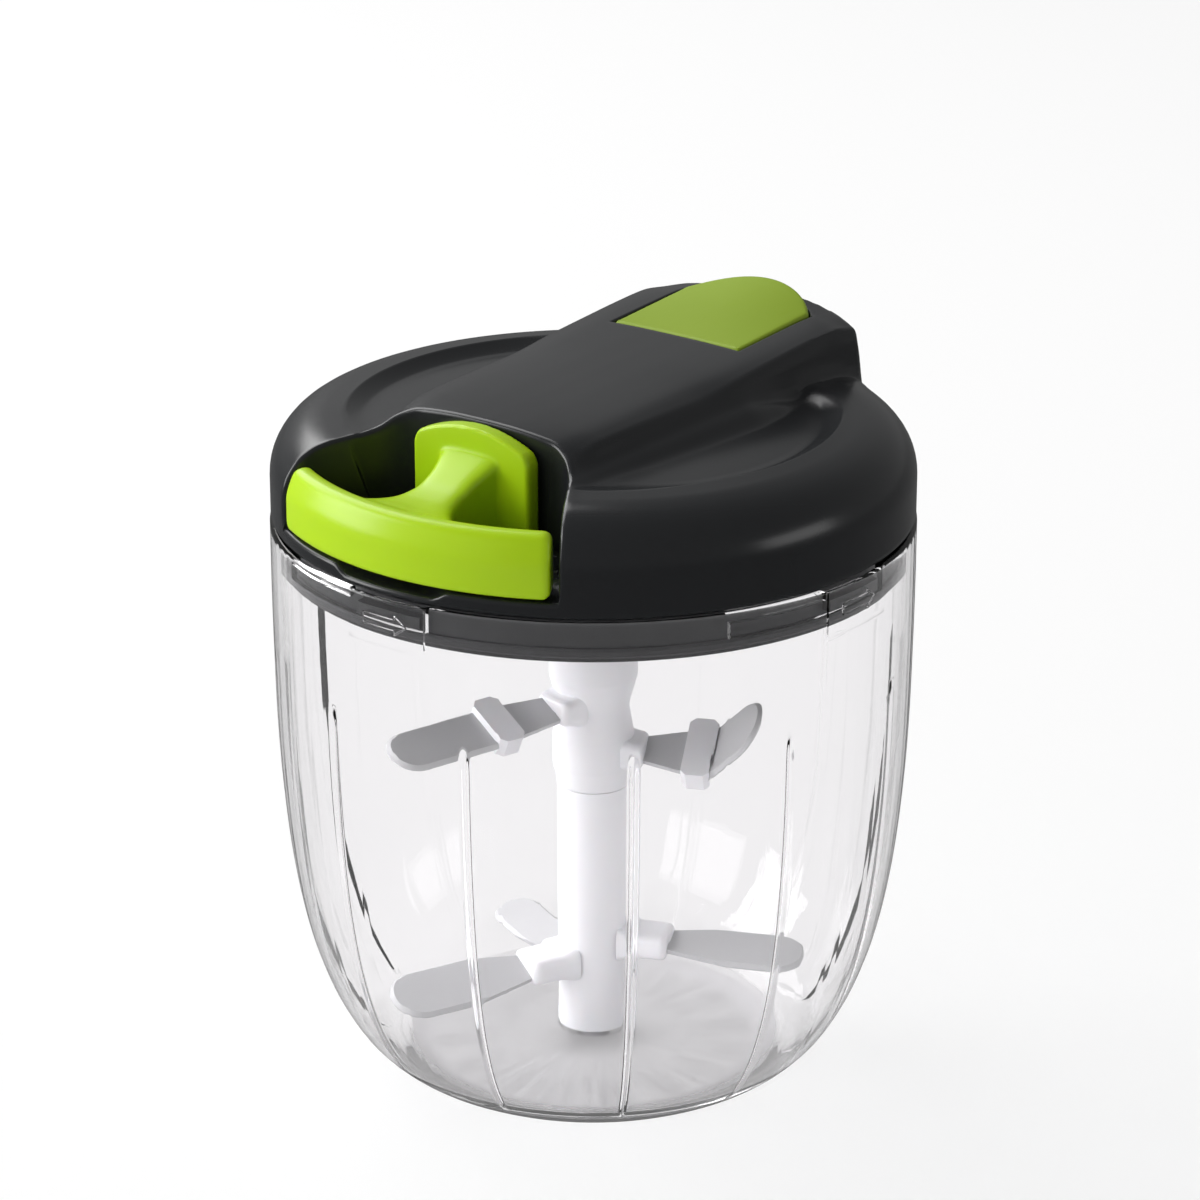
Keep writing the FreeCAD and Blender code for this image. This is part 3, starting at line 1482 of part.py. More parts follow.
def blade_place(name):
    """Height of a blade's mid plane and the reach of its tip."""
    return getattr(size, name + "_level"), getattr(size, name + "_tip")


def on_sleeve(level):
    """Whether a blade at this height is held by the upper sleeve."""
    return level.value > size.hub_top.value


def holder_reach(level):
    """How far a blade's holder stands out, for the hub below and the sleeve above."""
    return size.sleeve_holder_reach if on_sleeve(level) else size.holder_reach


def make_arm(name, level, bearing):
    """White holder that grips a blade's root."""
    arm = doc.addObject("Part::Box", name)
    bind(arm, "Length", size.hub_radius + holder_reach(level) - size.arm_start)
    bind(arm, "Width", size.holder_half * 2)
    bind(arm, "Height", size.holder_half_height * 2)
    start_x, start_y = polar_point(size.arm_start, bearing)
    side_x, side_y = polar_point(size.holder_half, bearing - 90)
    return place(arm, start_x + side_x, start_y + side_y, level - size.holder_half_height, turn=bearing)


def pitched(feature, level, leaf):
    """Put a blade's feature, drawn along +X at level 0, at its height, bearing and pitch."""
    place(feature, 0, 0, level, turn=leaf.bearing)
    feature.Placement = feature.Placement * Placement(Vector(), Rotation(Vector(1, 0, 0), leaf.pitch))
    return feature


def make_collar(name, level, tip, leaf, blade):
    """White collar moulded round the inner part of an upper blade."""
    neck_end = size.hub_radius + holder_reach(level)
    start = neck_end + (tip - neck_end) * size.collar_place
    end = start + size.collar_length
    half = size.blade_width * (leaf.breadth / 2) + size.collar_rim
    corner = size.collar_corner
    body = new_body(name + "_block")
    pad(body, name + "_pad", [
        (start + corner, -half),
        (end - corner, -half),
        (end, corner - half),
        (end, half - corner),
        (end - corner, half),
        (start + corner, half),
        (start, half - corner),
        (start, corner - half),
    ], -size.collar_half_height, size.collar_half_height)
    return cut(name, pitched(body, level, leaf), blade)


def blade_solid(name, level, tip, leaf):
    """Steel blade with a round end and a ground edge, its outer part turned up where it has an upturn."""
    root_end = size.hub_radius - size.root_bite
    neck_end = size.hub_radius + holder_reach(level)
    root_half, half = size.blade_root_half, size.blade_width * (leaf.breadth / 2)
    belly = neck_end + (tip - neck_end) * 0.45
    shoulder = tip - half
    body = new_body(name + "_flat" if leaf.upturn else name)
    plate = pad(body, name + "_leaf", [
        (root_end, -root_half),
        (neck_end, -root_half),
        (belly, -half),
        (shoulder, -half, half, "right"),
        (tip, 0, half, "right"),
        (shoulder, half),
        (belly, half),
        (neck_end, root_half),
        (root_end, root_half),
    ], -size.blade_thick / 2, size.blade_thick / 2)
    doc.recompute()
    grind = body.newObject("PartDesign::Chamfer", name + "_edge")
    top = size.blade_thick.value / 2
    grind.Base = (plate, [
        f"Edge{number}" for number, edge in enumerate(plate.Shape.Edges, start=1)
        if isinstance(edge.Curve, Part.Circle) and edge.CenterOfMass.z > top * 0.9
    ])
    bind(grind, "Size", size.bevel)
    body.Tip = grind
    blade = turned_up(name, body, belly, half, leaf.upturn) if leaf.upturn else body
    return pitched(blade, level, leaf)


def turned_up(name, flat, fold, half, upturn):
    """Fold the part of a flat blade past a line across it upwards."""
    halves = []
    reach, thick = size.lid_radius, size.blade_thick
    for end, start in (("inner", fold - reach), ("outer", fold)):
        box = doc.addObject("Part::Box", f"{name}_{end}_box")
        bind(box, "Length", reach)
        bind(box, "Width", size.blade_width * 2)
        bind(box, "Height", thick * 2)
        place(box, start, -size.blade_width, -thick)
        halves.append(common(f"{name}_{end}", flat, box))
    lean = Rotation(Vector(0, 1, 0), -upturn)
    pivot = Vector(fold.value, 0, 0)
    halves[1].Placement = Placement(pivot - lean.multVec(pivot), lean)
    bead = doc.addObject("Part::Cylinder", name + "_fold")
    bind(bead, "Radius", size.blade_thick / 2)
    bind(bead, "Height", half * 1.8)
    place(bead, fold, half * 0.8, 0, axis=(1, 0, 0), turn=90)
    return fuse(name, halves[0], halves[1], bead)


def make_blades():
    """The five steel blades."""
    blades = {}
    for name, leaf in BLADES.items():
        level, tip = blade_place(name)
        blades[name] = blade_solid(name, level, tip, leaf)
    return blades


def export(pieces):
    """Check every object and piece, then write one STEP file for each piece."""
    doc.recompute()
    failed = [item.Name for item in doc.Objects if {"Invalid", "Error"} & set(item.State)]
    assert not failed, f"failed objects: {failed}"
    os.makedirs("parts", exist_ok=True)
    for label, feature in pieces.items():
        shape = feature.Shape
        assert not shape.isNull() and shape.isValid() and shape.Solids, f"bad shape: {label}"
    for label, feature in pieces.items():
        assert feature.Label == label, f"label {feature.Label} should be {label}"
        feature.Shape.exportStep(f"parts/{label}.step")
        print(label, len(feature.Shape.Solids), round(feature.Shape.Volume, 1))


def main():
    """Build every piece and write them out."""
    pieces = {
        "bowl": make_bowl(),
        "spindle_pin": make_spindle_pin(),
        "lid_seal": make_lid_seal(),
        "lid_base": make_lid_base(),
        "lid_cover": make_lid_cover(),
        "lid_screws": make_lid_screws(),
        "cord_eyelet": make_eyelet(),
        "pull_handle": make_handle(),
    }
    pieces.update(make_shaft_pieces())
    pieces.update(make_spring_pieces())
    pieces.update(make_reel_pieces())
    pieces.update(make_cord_pieces())
    pieces.update(make_button_pieces())
    pieces.update(make_column_pieces())
    pieces.update(make_blades())
    export(pieces)


main()
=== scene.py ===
"""Dressing of a pull-string food chopper: clear bowl, charcoal lid, lime handle and white blade column.

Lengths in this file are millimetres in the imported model's frame: origin at the centre of the bowl's
foot, +Z up, the handle pulls towards -Y. Meshes are written in metres.
"""
import logging
import math
from dataclasses import dataclass, field
from enum import Enum

import bmesh
import bpy
import numpy as np
from mathutils import Matrix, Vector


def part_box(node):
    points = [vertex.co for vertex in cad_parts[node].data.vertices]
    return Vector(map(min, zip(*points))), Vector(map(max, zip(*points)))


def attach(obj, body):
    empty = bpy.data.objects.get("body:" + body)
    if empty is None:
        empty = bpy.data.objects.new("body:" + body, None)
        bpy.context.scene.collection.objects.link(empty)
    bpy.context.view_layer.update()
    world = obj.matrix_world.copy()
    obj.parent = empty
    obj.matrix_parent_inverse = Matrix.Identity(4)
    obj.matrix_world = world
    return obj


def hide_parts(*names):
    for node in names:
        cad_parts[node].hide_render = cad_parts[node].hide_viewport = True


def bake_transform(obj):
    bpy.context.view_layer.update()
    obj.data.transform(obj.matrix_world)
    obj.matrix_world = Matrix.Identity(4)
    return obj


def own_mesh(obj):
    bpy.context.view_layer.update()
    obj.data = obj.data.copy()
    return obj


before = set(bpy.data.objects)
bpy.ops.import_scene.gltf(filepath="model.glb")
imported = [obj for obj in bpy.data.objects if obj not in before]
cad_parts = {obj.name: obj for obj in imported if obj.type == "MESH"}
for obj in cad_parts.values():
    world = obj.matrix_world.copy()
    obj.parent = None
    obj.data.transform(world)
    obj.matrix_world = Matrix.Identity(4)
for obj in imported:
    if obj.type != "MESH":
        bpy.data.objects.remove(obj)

Array = np.ndarray
Colour = tuple[float, float, float]
METRES = 0.001
WELD = 1e-4
LOG = logging.getLogger("chopper")


class Facing(Enum):
    """How the edges of a mesh are shaded."""

    SMOOTH = 180.0
    SOFT = 50.0
    CRISP = 32.0


class Body(Enum):
    """The model's bodies that pieces made here ride on."""

    BOWL = "bowl"
    LID = "lid"
    REEL = "reel"
    HANDLE = "handle"
    BUTTON = "button"
    BLADES = "blades"


# Shapes worked out as arrays


def smooth_max(first: Array, second: Array, blend: float) -> Array:
    """Larger of two heights with a rounded crease.

    Formula: the mean of both plus half of sqrt(difference squared + blend squared).

    Args:
        first: heights of one surface.
        second: heights of the other surface.
        blend: size of the rounded crease.

    Returns:
        The joined heights.
    """
    return 0.5 * (first + second + np.sqrt((first - second) ** 2 + blend ** 2))


def ease(value: Array, low: float, high: float) -> Array:
    """Smooth step from 0 at low to 1 at high: 3t^2 - 2t^3."""
    part = np.clip((value - low) / (high - low), 0.0, 1.0)
    return part * part * (3.0 - 2.0 * part)


def curve_through(knots: Array, values: Array, where: Array) -> Array:
    """Smooth curve through knots, by cubic Hermite pieces with limited slopes.

    Formula: on each piece the four Hermite polynomials weigh the end values and the end slopes. A slope
    is the harmonic mean of its two neighbouring chords, or zero where they change sign.

    Args:
        knots: rising positions.
        values: one value for each knot, or one array of values for each, shaped like where.
        where: positions at which the curve is wanted.

    Returns:
        The curve's values.
    """
    knots, values, where = (np.asarray(given, float) for given in (knots, values, where))
    where = np.clip(where, knots[0], knots[-1])
    flat = (len(knots), *[1] * where.ndim)
    values = np.broadcast_to(values.reshape(flat) if values.ndim == 1 else values, (len(knots), *where.shape))
    gaps = np.diff(knots)
    chords = np.diff(values, axis=0) / gaps.reshape(-1, *[1] * where.ndim)
    same = chords[1:] * chords[:-1] > 0
    both = np.where(same, chords[1:] + chords[:-1], 1.0)
    inner = np.where(same, 2.0 * chords[1:] * chords[:-1] / both, 0.0)
    slopes = np.concatenate([chords[:1], inner, chords[-1:]])
    piece = np.clip(np.searchsorted(knots, where, side="right") - 1, 0, len(gaps) - 1)
    width = gaps[piece]
    t = (where - knots[piece]) / width
    low, high = (np.take_along_axis(values, (piece + step)[None], 0)[0] for step in (0, 1))
    rise_low, rise_high = (np.take_along_axis(slopes, (piece + step)[None], 0)[0] for step in (0, 1))
    return ((2 * t ** 3 - 3 * t ** 2 + 1) * low + (t ** 3 - 2 * t ** 2 + t) * width * rise_low
            + (3 * t ** 2 - 2 * t ** 3) * high + (t ** 3 - t ** 2) * width * rise_high)


def rounded_corners(corners: list[tuple[float, float, float]], steps: int = 6) -> Array:
    """Outline through corners, each rounded by its own radius.

    Formula: each corner is replaced by a quadratic curve from a point one setback before it to a point
    one setback after it, where the setback is radius * tan(half of the turn).

    Args:
        corners: (radius, height, rounding) of each corner, open at both ends.
        steps: spans in each rounded corner.

    Returns:
        The outline's points, one row each.
    """
    spots = np.array([corner[:2] for corner in corners], float)
    points = [spots[:1]]
    for index in range(1, len(corners) - 1):
        before, here, after = spots[index - 1:index + 2]
        rounding = corners[index][2]
        if rounding <= 0:
            points.append(here[None])
            continue
        back, ahead = before - here, after - here
        back_length, ahead_length = np.linalg.norm(back), np.linalg.norm(ahead)
        back, ahead = back / back_length, ahead / ahead_length
        turn = math.pi - math.acos(float(np.clip(back @ ahead, -1, 1)))
        setback = min(rounding * math.tan(turn / 2), back_length * 0.49, ahead_length * 0.49)
        t = np.linspace(0, 1, steps + 1)[:, None]
        points.append((1 - t) ** 2 * (here + back * setback) + 2 * t * (1 - t) * here
                      + t ** 2 * (here + ahead * setback))
    points.append(spots[-1:])
    return np.concatenate(points)


def lathe(outline: Array, columns: int = 96) -> Array:
    """Grid of an outline of (radius, height) points turned about +Z: (r cos a, r sin a, z)."""
    angle = np.linspace(0, 2 * math.pi, columns, endpoint=False)
    radius, height = outline[:, 0][:, None], outline[:, 1][:, None]
    return np.stack([radius * np.cos(angle), radius * np.sin(angle),
                     np.broadcast_to(height, (len(outline), columns))], axis=2)


def carried(path: Array, profile: Array, upward: Array) -> Array:
    """Closed profile carried along a path.

    Formula: at each point the path's tangent t and the upward direction u give side = t x u, and a
    profile point (a, b) lands at path + a * side + b * u.

    Args:
        path: (n, 3) points.
        profile: (m, 2) points, or (n, m, 2) where it changes along the path.
        upward: one direction, or one for each path point.

    Returns:
        Grid of (n, m, 3) points.
    """
    tangent = np.gradient(path, axis=0)
    tangent /= np.linalg.norm(tangent, axis=1, keepdims=True)
    upward = np.broadcast_to(upward, path.shape)
    upward = upward - (upward * tangent).sum(1, keepdims=True) * tangent
    upward = upward / np.linalg.norm(upward, axis=1, keepdims=True)
    side = np.cross(tangent, upward)
    if profile.ndim == 2:
        profile = np.broadcast_to(profile, (len(path), *profile.shape))
    return (path[:, None] + profile[..., :1] * side[:, None] + profile[..., 1:] * upward[:, None])


def round_box(half_wide: float, half_high: float, rounding: float, steps: int = 4) -> Array:
    """Closed rectangle outline with round corners, anticlockwise."""
    angle = np.radians(np.linspace(0, 90, steps + 1))
    corners = []
    for turn, (x, y) in enumerate(((1, 1), (-1, 1), (-1, -1), (1, -1))):
        spin = angle + turn * math.pi / 2
        corners.append(np.stack([x * (half_wide - rounding) + rounding * np.cos(spin),
                                 y * (half_high - rounding) + rounding * np.sin(spin)], axis=1))
    return np.concatenate(corners)


@dataclass
class Shell:
    """Points and faces gathered before they become one mesh, in millimetres."""

    points: list[Array] = field(default_factory=list)
    faces: list[Array] = field(default_factory=list)
    count: int = 0

    def add_grid(self, grid: Array, wrap: bool = False, caps: bool = False) -> None:
        """Take in a grid of points as quads.

        Args:
            grid: (rows, columns, 3) points.
            wrap: the last column joins the first.
            caps: the first and the last row are closed by a fan to their middle.
        """
        if caps:
            ends = [grid[:1].mean(1, keepdims=True), grid[-1:].mean(1, keepdims=True)]
            ends = [np.broadcast_to(end, (1, grid.shape[1], 3)) for end in ends]
            grid = np.concatenate([ends[0], grid, ends[1]])
        rows, columns = grid.shape[:2]
        index = np.arange(rows * columns).reshape(rows, columns)
        if wrap:
            index = np.concatenate([index, index[:, :1]], axis=1)
        quads = np.stack([index[:-1, :-1], index[:-1, 1:], index[1:, 1:], index[1:, :-1]], axis=2)
        self.points.append(grid.reshape(-1, 3))
        self.faces.append(quads.reshape(-1, 4) + self.count)
        self.count += rows * columns

    def drop(self, centre: tuple[float, float, float], reach: float) -> None:
        """Leave out the last grid's faces whose middle is nearer to a point than a reach."""
        points = np.concatenate(self.points)
        middles = points[self.faces[-1]].mean(axis=1)
        self.faces[-1] = self.faces[-1][np.linalg.norm(middles - np.array(centre), axis=1) > reach]

    def add_lathe(self, outline: Array, columns: int = 96, centre: tuple[float, float] = (0, 0)) -> None:
        """Take in a turned outline about an upright line through a centre."""
        self.add_grid(lathe(outline, columns) + np.array([*centre, 0.0]), wrap=True)

    def welded(self) -> tuple[Array, Array, Array]:
        """Points without doubles, their quads, and the triangles that quads with a double become."""
        points, faces = np.concatenate(self.points), np.concatenate(self.faces)
        keys = np.round(points / WELD).astype(np.int64)
        _, first, inverse = np.unique(keys, axis=0, return_index=True, return_inverse=True)
        faces = inverse.reshape(-1)[faces]
        repeated = faces == np.roll(faces, -1, axis=1)
        doubles = repeated.sum(1)
        thin = doubles == 1
        triangles = faces[thin][~repeated[thin]].reshape(-1, 3)
        quads = faces[(doubles == 0) & (faces[:, 0] != faces[:, 2]) & (faces[:, 1] != faces[:, 3])]
        return points[first], quads, triangles

    def to_object(self, name: str, facing: Facing = Facing.CRISP) -> bpy.types.Object:
        """Make one mesh object with outward faces.

        Args:
            name: name of the piece.
            facing: how its edges are shaded.

        Returns:
            The new object, at the origin.
        """
        points, quads, triangles = self.welded()
        mesh = bpy.data.meshes.new(name)
        mesh.from_pydata((points * METRES).tolist(), [], quads.tolist() + triangles.tolist())
        work = bmesh.new()
        work.from_mesh(mesh)
        bmesh.ops.recalc_face_normals(work, faces=work.faces)
        work.to_mesh(mesh)
        work.free()
        mesh.shade_smooth()
        mesh.set_sharp_from_angle(angle=math.radians(facing.value))
        mesh.update()
        return placed(name, mesh)


def placed(name: str, data: bpy.types.ID) -> bpy.types.Object:
    """New object with its data, in the scene."""
    made = bpy.data.objects.new(name, data)
    bpy.context.scene.collection.objects.link(made)
    return made


def finish_piece(piece: bpy.types.Object, palette: "Palette", slot: str, *nodes: str) -> None:
    """Give a piece the material of its slot, and let it stand for its nodes."""
    piece.data.materials.clear()
    piece.data.materials.append(palette[slot])
    if nodes:
        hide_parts(*nodes)


def settle(piece: bpy.types.Object, body: Body, palette: "Palette", slot: str,
           *nodes: str) -> bpy.types.Object:
    """Finish a piece and put it on its body."""
    finish_piece(piece, palette, slot, *nodes)
    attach(piece, body.value)
    LOG.info("%s rides on %s, %d faces", piece.name, body.value, len(piece.data.polygons))
    return piece


# Finishes


def feed(tree: bpy.types.NodeTree, socket: bpy.types.NodeSocket, value: object) -> None:
    """Give an input its value: another socket to link to, or a plain value."""
    if isinstance(value, bpy.types.NodeSocket):
        tree.links.new(value, socket)
    else:
        socket.default_value = value


def node(tree: bpy.types.NodeTree, kind: str, values: dict[str | int, object] | None = None,
         **settings: object) -> bpy.types.Node:
    """New node with its settings, its inputs fed by name or by number."""
    made = tree.nodes.new(kind)
    for name, value in settings.items():
        setattr(made, name, value)
    for name, value in (values or {}).items():
        feed(tree, made.inputs[name], value)
    return made


def maths(tree: bpy.types.NodeTree, operation: str, *values: object,
          **settings: object) -> bpy.types.NodeSocket:
    """Result of one Math node on sockets or numbers."""
    return node(tree, "ShaderNodeMath", dict(enumerate(values)), operation=operation, **settings).outputs[0]


def mix_colour(tree: bpy.types.NodeTree, factor: bpy.types.NodeSocket, first: object,
               second: object) -> bpy.types.NodeSocket:
    """Colour between two, which are sockets or plain colours."""
    return node(tree, "ShaderNodeMix", {"Factor": factor, 6: first, 7: second}, data_type="RGBA").outputs[2]


def mix_shader(tree: bpy.types.NodeTree, factor: bpy.types.NodeSocket, first: bpy.types.NodeSocket,
               second: bpy.types.NodeSocket) -> bpy.types.NodeSocket:
    """Shader between two."""
    return node(tree, "ShaderNodeMixShader", {"Fac": factor, 1: first, 2: second}).outputs["Shader"]


def ranged(tree: bpy.types.NodeTree, value: bpy.types.NodeSocket, low: object, high: object,
           start: float = 0.0, finish: float = 1.0) -> bpy.types.NodeSocket:
    """Map a value from start to finish between two ends, which are sockets or numbers."""
    return node(tree, "ShaderNodeMapRange", {"Value": value, "From Min": start, "From Max": finish,
                                             "To Min": low, "To Max": high}).outputs["Result"]


def noise(tree: bpy.types.NodeTree, scale: object, detail: float = 3.0,
          stretch: tuple[float, float, float] | None = None) -> bpy.types.NodeSocket:
    """Noise on object coordinates, stretched where asked."""
    where = tree.nodes.new("ShaderNodeTexCoord").outputs["Object"]
    if stretch is not None:
        where = node(tree, "ShaderNodeMapping", {"Scale": stretch, "Vector": where}).outputs["Vector"]
    values = {"Detail": detail, "Vector": where, "Scale": scale}
    return node(tree, "ShaderNodeTexNoise", values).outputs["Fac"]


def group_tree(name: str, inputs: dict[str, object],
               outputs: tuple[str, ...]) -> tuple[bpy.types.NodeTree, object, object]:
    """Shader node group with named sockets.

    Args:
        name: name of the group.
        inputs: socket name to its starting value, which is a number or a colour.
        outputs: socket names. Colour is a colour and the others are numbers.

    Returns:
        The tree, the sockets that hand in its values, and the sockets that take its results.
    """
    tree = bpy.data.node_groups.new(name, "ShaderNodeTree")
    for label, value in inputs.items():
        kind = "NodeSocketFloat" if isinstance(value, float) else "NodeSocketColor"
        tree.interface.new_socket(label, in_out="INPUT", socket_type=kind).default_value = value
    for label in outputs:
        kind = "NodeSocketColor" if label == "Colour" else "NodeSocketFloat"
        tree.interface.new_socket(label, in_out="OUTPUT", socket_type=kind)
    return tree, tree.nodes.new("NodeGroupInput").outputs, tree.nodes.new("NodeGroupOutput").inputs


class Effects:
    """Node groups that several finishes share, built once."""

    def __init__(self) -> None:
        """Build every group."""
        self.moulded = self.build_moulded()
        self.brushed = self.build_brushed()
        self.turned = self.build_turned()

    @staticmethod
    def build_moulded() -> bpy.types.NodeTree:
        """Moulded plastic: faint flow mottle, fine grain, and a few hairline scratches."""
        tree, given, result = group_tree(
            "moulded_plastic",
            {"Colour": (0.5, 0.5, 0.5, 1), "Shade": (0.4, 0.4, 0.4, 1), "Flow Scale": 40.0,
             "Grain Scale": 2500.0, "Roughness Low": 0.2, "Roughness High": 0.3, "Scratch": 0.1},
            ("Colour", "Roughness", "Height"))
        flow = noise(tree, given["Flow Scale"], 2.0)
        grain = noise(tree, given["Grain Scale"], 2.0)
        lines = ranged(tree, noise(tree, 900.0, 2.0, (1.0, 0.06, 0.25)), 0.0, 1.0, 0.66, 0.74)
        marks = maths(tree, "MULTIPLY", lines, given["Scratch"])
        plain = ranged(tree, flow, given["Roughness Low"], given["Roughness High"])
        feed(tree, result["Colour"], mix_colour(tree, flow, given["Shade"], given["Colour"]))
        feed(tree, result["Roughness"], maths(tree, "ADD", plain, marks))
        feed(tree, result["Height"], grain)
        return tree

    @staticmethod
    def build_brushed() -> bpy.types.NodeTree:
        """Brushed steel: long fine streaks in colour, roughness and height."""
        tree, given, result = group_tree(
            "brushed_steel",
            {"Light": (0.7, 0.7, 0.7, 1), "Dark": (0.5, 0.5, 0.5, 1), "Roughness Low": 0.2,
             "Roughness High": 0.4},
            ("Colour", "Roughness", "Height"))
        streaks = noise(tree, 900.0, 4.0, (0.12, 1.0, 1.0))
        clouds = noise(tree, 60.0, 3.0)
        feed(tree, result["Colour"], mix_colour(tree, clouds, given["Dark"], given["Light"]))
        rough = ranged(tree, streaks, given["Roughness Low"], given["Roughness High"])
        feed(tree, result["Roughness"], rough)
        feed(tree, result["Height"], streaks)
        return tree

    @staticmethod
    def build_turned() -> bpy.types.NodeTree:
        """Turned metal: rings about the upright axis left by the tool."""
        tree, given, result = group_tree(
            "turned_metal", {"Light": (0.7, 0.7, 0.7, 1), "Dark": (0.5, 0.5, 0.5, 1), "Ring Scale": 1500.0},
            ("Colour", "Height"))
        where = tree.nodes.new("ShaderNodeTexCoord").outputs["Object"]
        wave = node(tree, "ShaderNodeTexWave", {"Distortion": 0.6, "Detail": 1.0, "Vector": where,
                                                "Scale": given["Ring Scale"]}, bands_direction="Z")
        feed(tree, result["Colour"], mix_colour(tree, noise(tree, 150.0), given["Dark"], given["Light"]))
        feed(tree, result["Height"], wave.outputs["Fac"])
        return tree


def new_material(name: str) -> tuple[bpy.types.Material, bpy.types.NodeTree, bpy.types.Node]:
    """Material with its tree and its Principled shader."""
    material = bpy.data.materials.new(name)
    material.use_nodes = True
    return material, material.node_tree, material.node_tree.nodes["Principled BSDF"]


def bump_from(tree: bpy.types.NodeTree, height: bpy.types.NodeSocket, shader: bpy.types.Node,
              strength: float, depth: float) -> None:
    """Feed a height into the shader's normal through a Bump node, depth in metres."""
    bump = node(tree, "ShaderNodeBump", {"Strength": strength, "Distance": depth, "Height": height})
    tree.links.new(bump.outputs["Normal"], shader.inputs["Normal"])


def four(colour: Colour) -> tuple[float, float, float, float]:
    """Colour with full alpha."""
    return (*colour, 1.0)


def finish_from(name: str, group: bpy.types.NodeTree, values: dict[str, object], bump: tuple[float, float],
                plain: dict[str, float]) -> bpy.types.Material:
    """Material whose shader takes its colour, roughness and height from a group.

    Args:
        name: name of the material.
        group: the shared effect.
        values: what this finish hands to the group.
        bump: strength, and depth in metres, of the group's height.
        plain: constant values on the shader.

    Returns:
        The new material.
    """
    material, tree, shader = new_material(name)
    look = node(tree, "ShaderNodeGroup", values, node_tree=group).outputs
    for label, socket in (("Colour", "Base Color"), ("Roughness", "Roughness")):
        if label in look:
            feed(tree, shader.inputs[socket], look[label])
    for label, value in plain.items():
        feed(tree, shader.inputs[label], value)
    bump_from(tree, look["Height"], shader, *bump)
    return material


@dataclass(frozen=True)
class Plastic:
    """Opaque moulded plastic."""

    name: str
    colour: Colour
    shade: Colour
    roughness: tuple[float, float]
    grain_scale: float = 2500.0
    grain: float = 0.04
    scratch: float = 0.06
    flow_scale: float = 40.0
    glow: float = 0.0
    specular: float = 0.5
    glow_depth: float = 0.002
    grain_depth: float = 0.00004

    def material(self, effects: Effects) -> bpy.types.Material:
        """Material of this finish."""
        return finish_from(self.name, effects.moulded, {
            "Colour": four(self.colour), "Shade": four(self.shade), "Flow Scale": self.flow_scale,
            "Grain Scale": self.grain_scale, "Roughness Low": self.roughness[0],
            "Roughness High": self.roughness[1], "Scratch": self.scratch}, (self.grain, self.grain_depth), {
            "Specular IOR Level": self.specular, "Subsurface Weight": self.glow,
            "Subsurface Scale": self.glow_depth})


@dataclass(frozen=True)
class BrushedMetal:
    """Rolled or ground steel with streaks."""

    name: str
    light: Colour
    dark: Colour
    roughness: tuple[float, float]
    streak: float = 0.15
    metallic: float = 1.0
    streak_depth: float = 0.00003

    def material(self, effects: Effects) -> bpy.types.Material:
        """Material of this finish."""
        return finish_from(self.name, effects.brushed, {
            "Light": four(self.light), "Dark": four(self.dark), "Roughness Low": self.roughness[0],
            "Roughness High": self.roughness[1]}, (self.streak, self.streak_depth),
            {"Metallic": self.metallic})


@dataclass(frozen=True)
class TurnedMetal:
    """Metal turned on a lathe."""

    name: str
    light: Colour
    dark: Colour
    roughness: float
    depth: float = 0.12
    rings: float = 1500.0
    ring_depth: float = 0.00003

    def material(self, effects: Effects) -> bpy.types.Material:
        """Material of this finish."""
        return finish_from(self.name, effects.turned, {
            "Light": four(self.light), "Dark": four(self.dark), "Ring Scale": self.rings},
            (self.depth, self.ring_depth), {"Metallic": 1.0, "Roughness": self.roughness})


@dataclass(frozen=True)
class ClearPlastic:
    """Clear bowl plastic: refracting for what is seen through it, open to light from the lamps.

    Inside the frost radius, about the object's axis, it is a little greyer and rougher.
    """

    name: str
    tint: Colour
    roughness: float
    index: float
    frost_tint: Colour
    frost_radius: float
    frost_roughness: float
    frost_edge: float = 0.0005
    shadow_tint: Colour = (0.93, 0.93, 0.94)

    def material(self, effects: Effects) -> bpy.types.Material:
        """Material of this finish."""
        material, tree, shader = new_material(self.name)
        look = node(tree, "ShaderNodeGroup", {
            "Roughness Low": self.roughness, "Roughness High": self.roughness * 1.6, "Scratch": 0.03,
            "Flow Scale": 25.0, "Grain Scale": 90.0}, node_tree=effects.moulded).outputs
        where = tree.nodes.new("ShaderNodeTexCoord").outputs["Object"]
        flat = node(tree, "ShaderNodeVectorMath", {0: where, 1: (1.0, 1.0, 0.0)}, operation="MULTIPLY")
        reach = node(tree, "ShaderNodeVectorMath", {0: flat.outputs["Vector"]}, operation="LENGTH")
        frosted = ranged(tree, reach.outputs["Value"], 1.0, 0.0, self.frost_radius - self.frost_edge,
                         self.frost_radius + self.frost_edge)
        tint = mix_colour(tree, frosted, four(self.tint), four(self.frost_tint))
        rough = maths(tree, "MULTIPLY_ADD", frosted, self.frost_roughness, look["Roughness"])
        for label, value in {"Transmission Weight": 1.0, "IOR": self.index, "Base Color": tint,
                             "Roughness": rough}.items():
            feed(tree, shader.inputs[label], value)
        bump_from(tree, look["Height"], shader, 0.02, 0.0006)
        clear = node(tree, "ShaderNodeBsdfTransparent", {"Color": four(self.shadow_tint)})
        shadow = tree.nodes.new("ShaderNodeLightPath").outputs["Is Shadow Ray"]
        feed(tree, tree.nodes["Material Output"].inputs["Surface"],
             mix_shader(tree, shadow, shader.outputs["BSDF"], clear.outputs["BSDF"]))
        return material


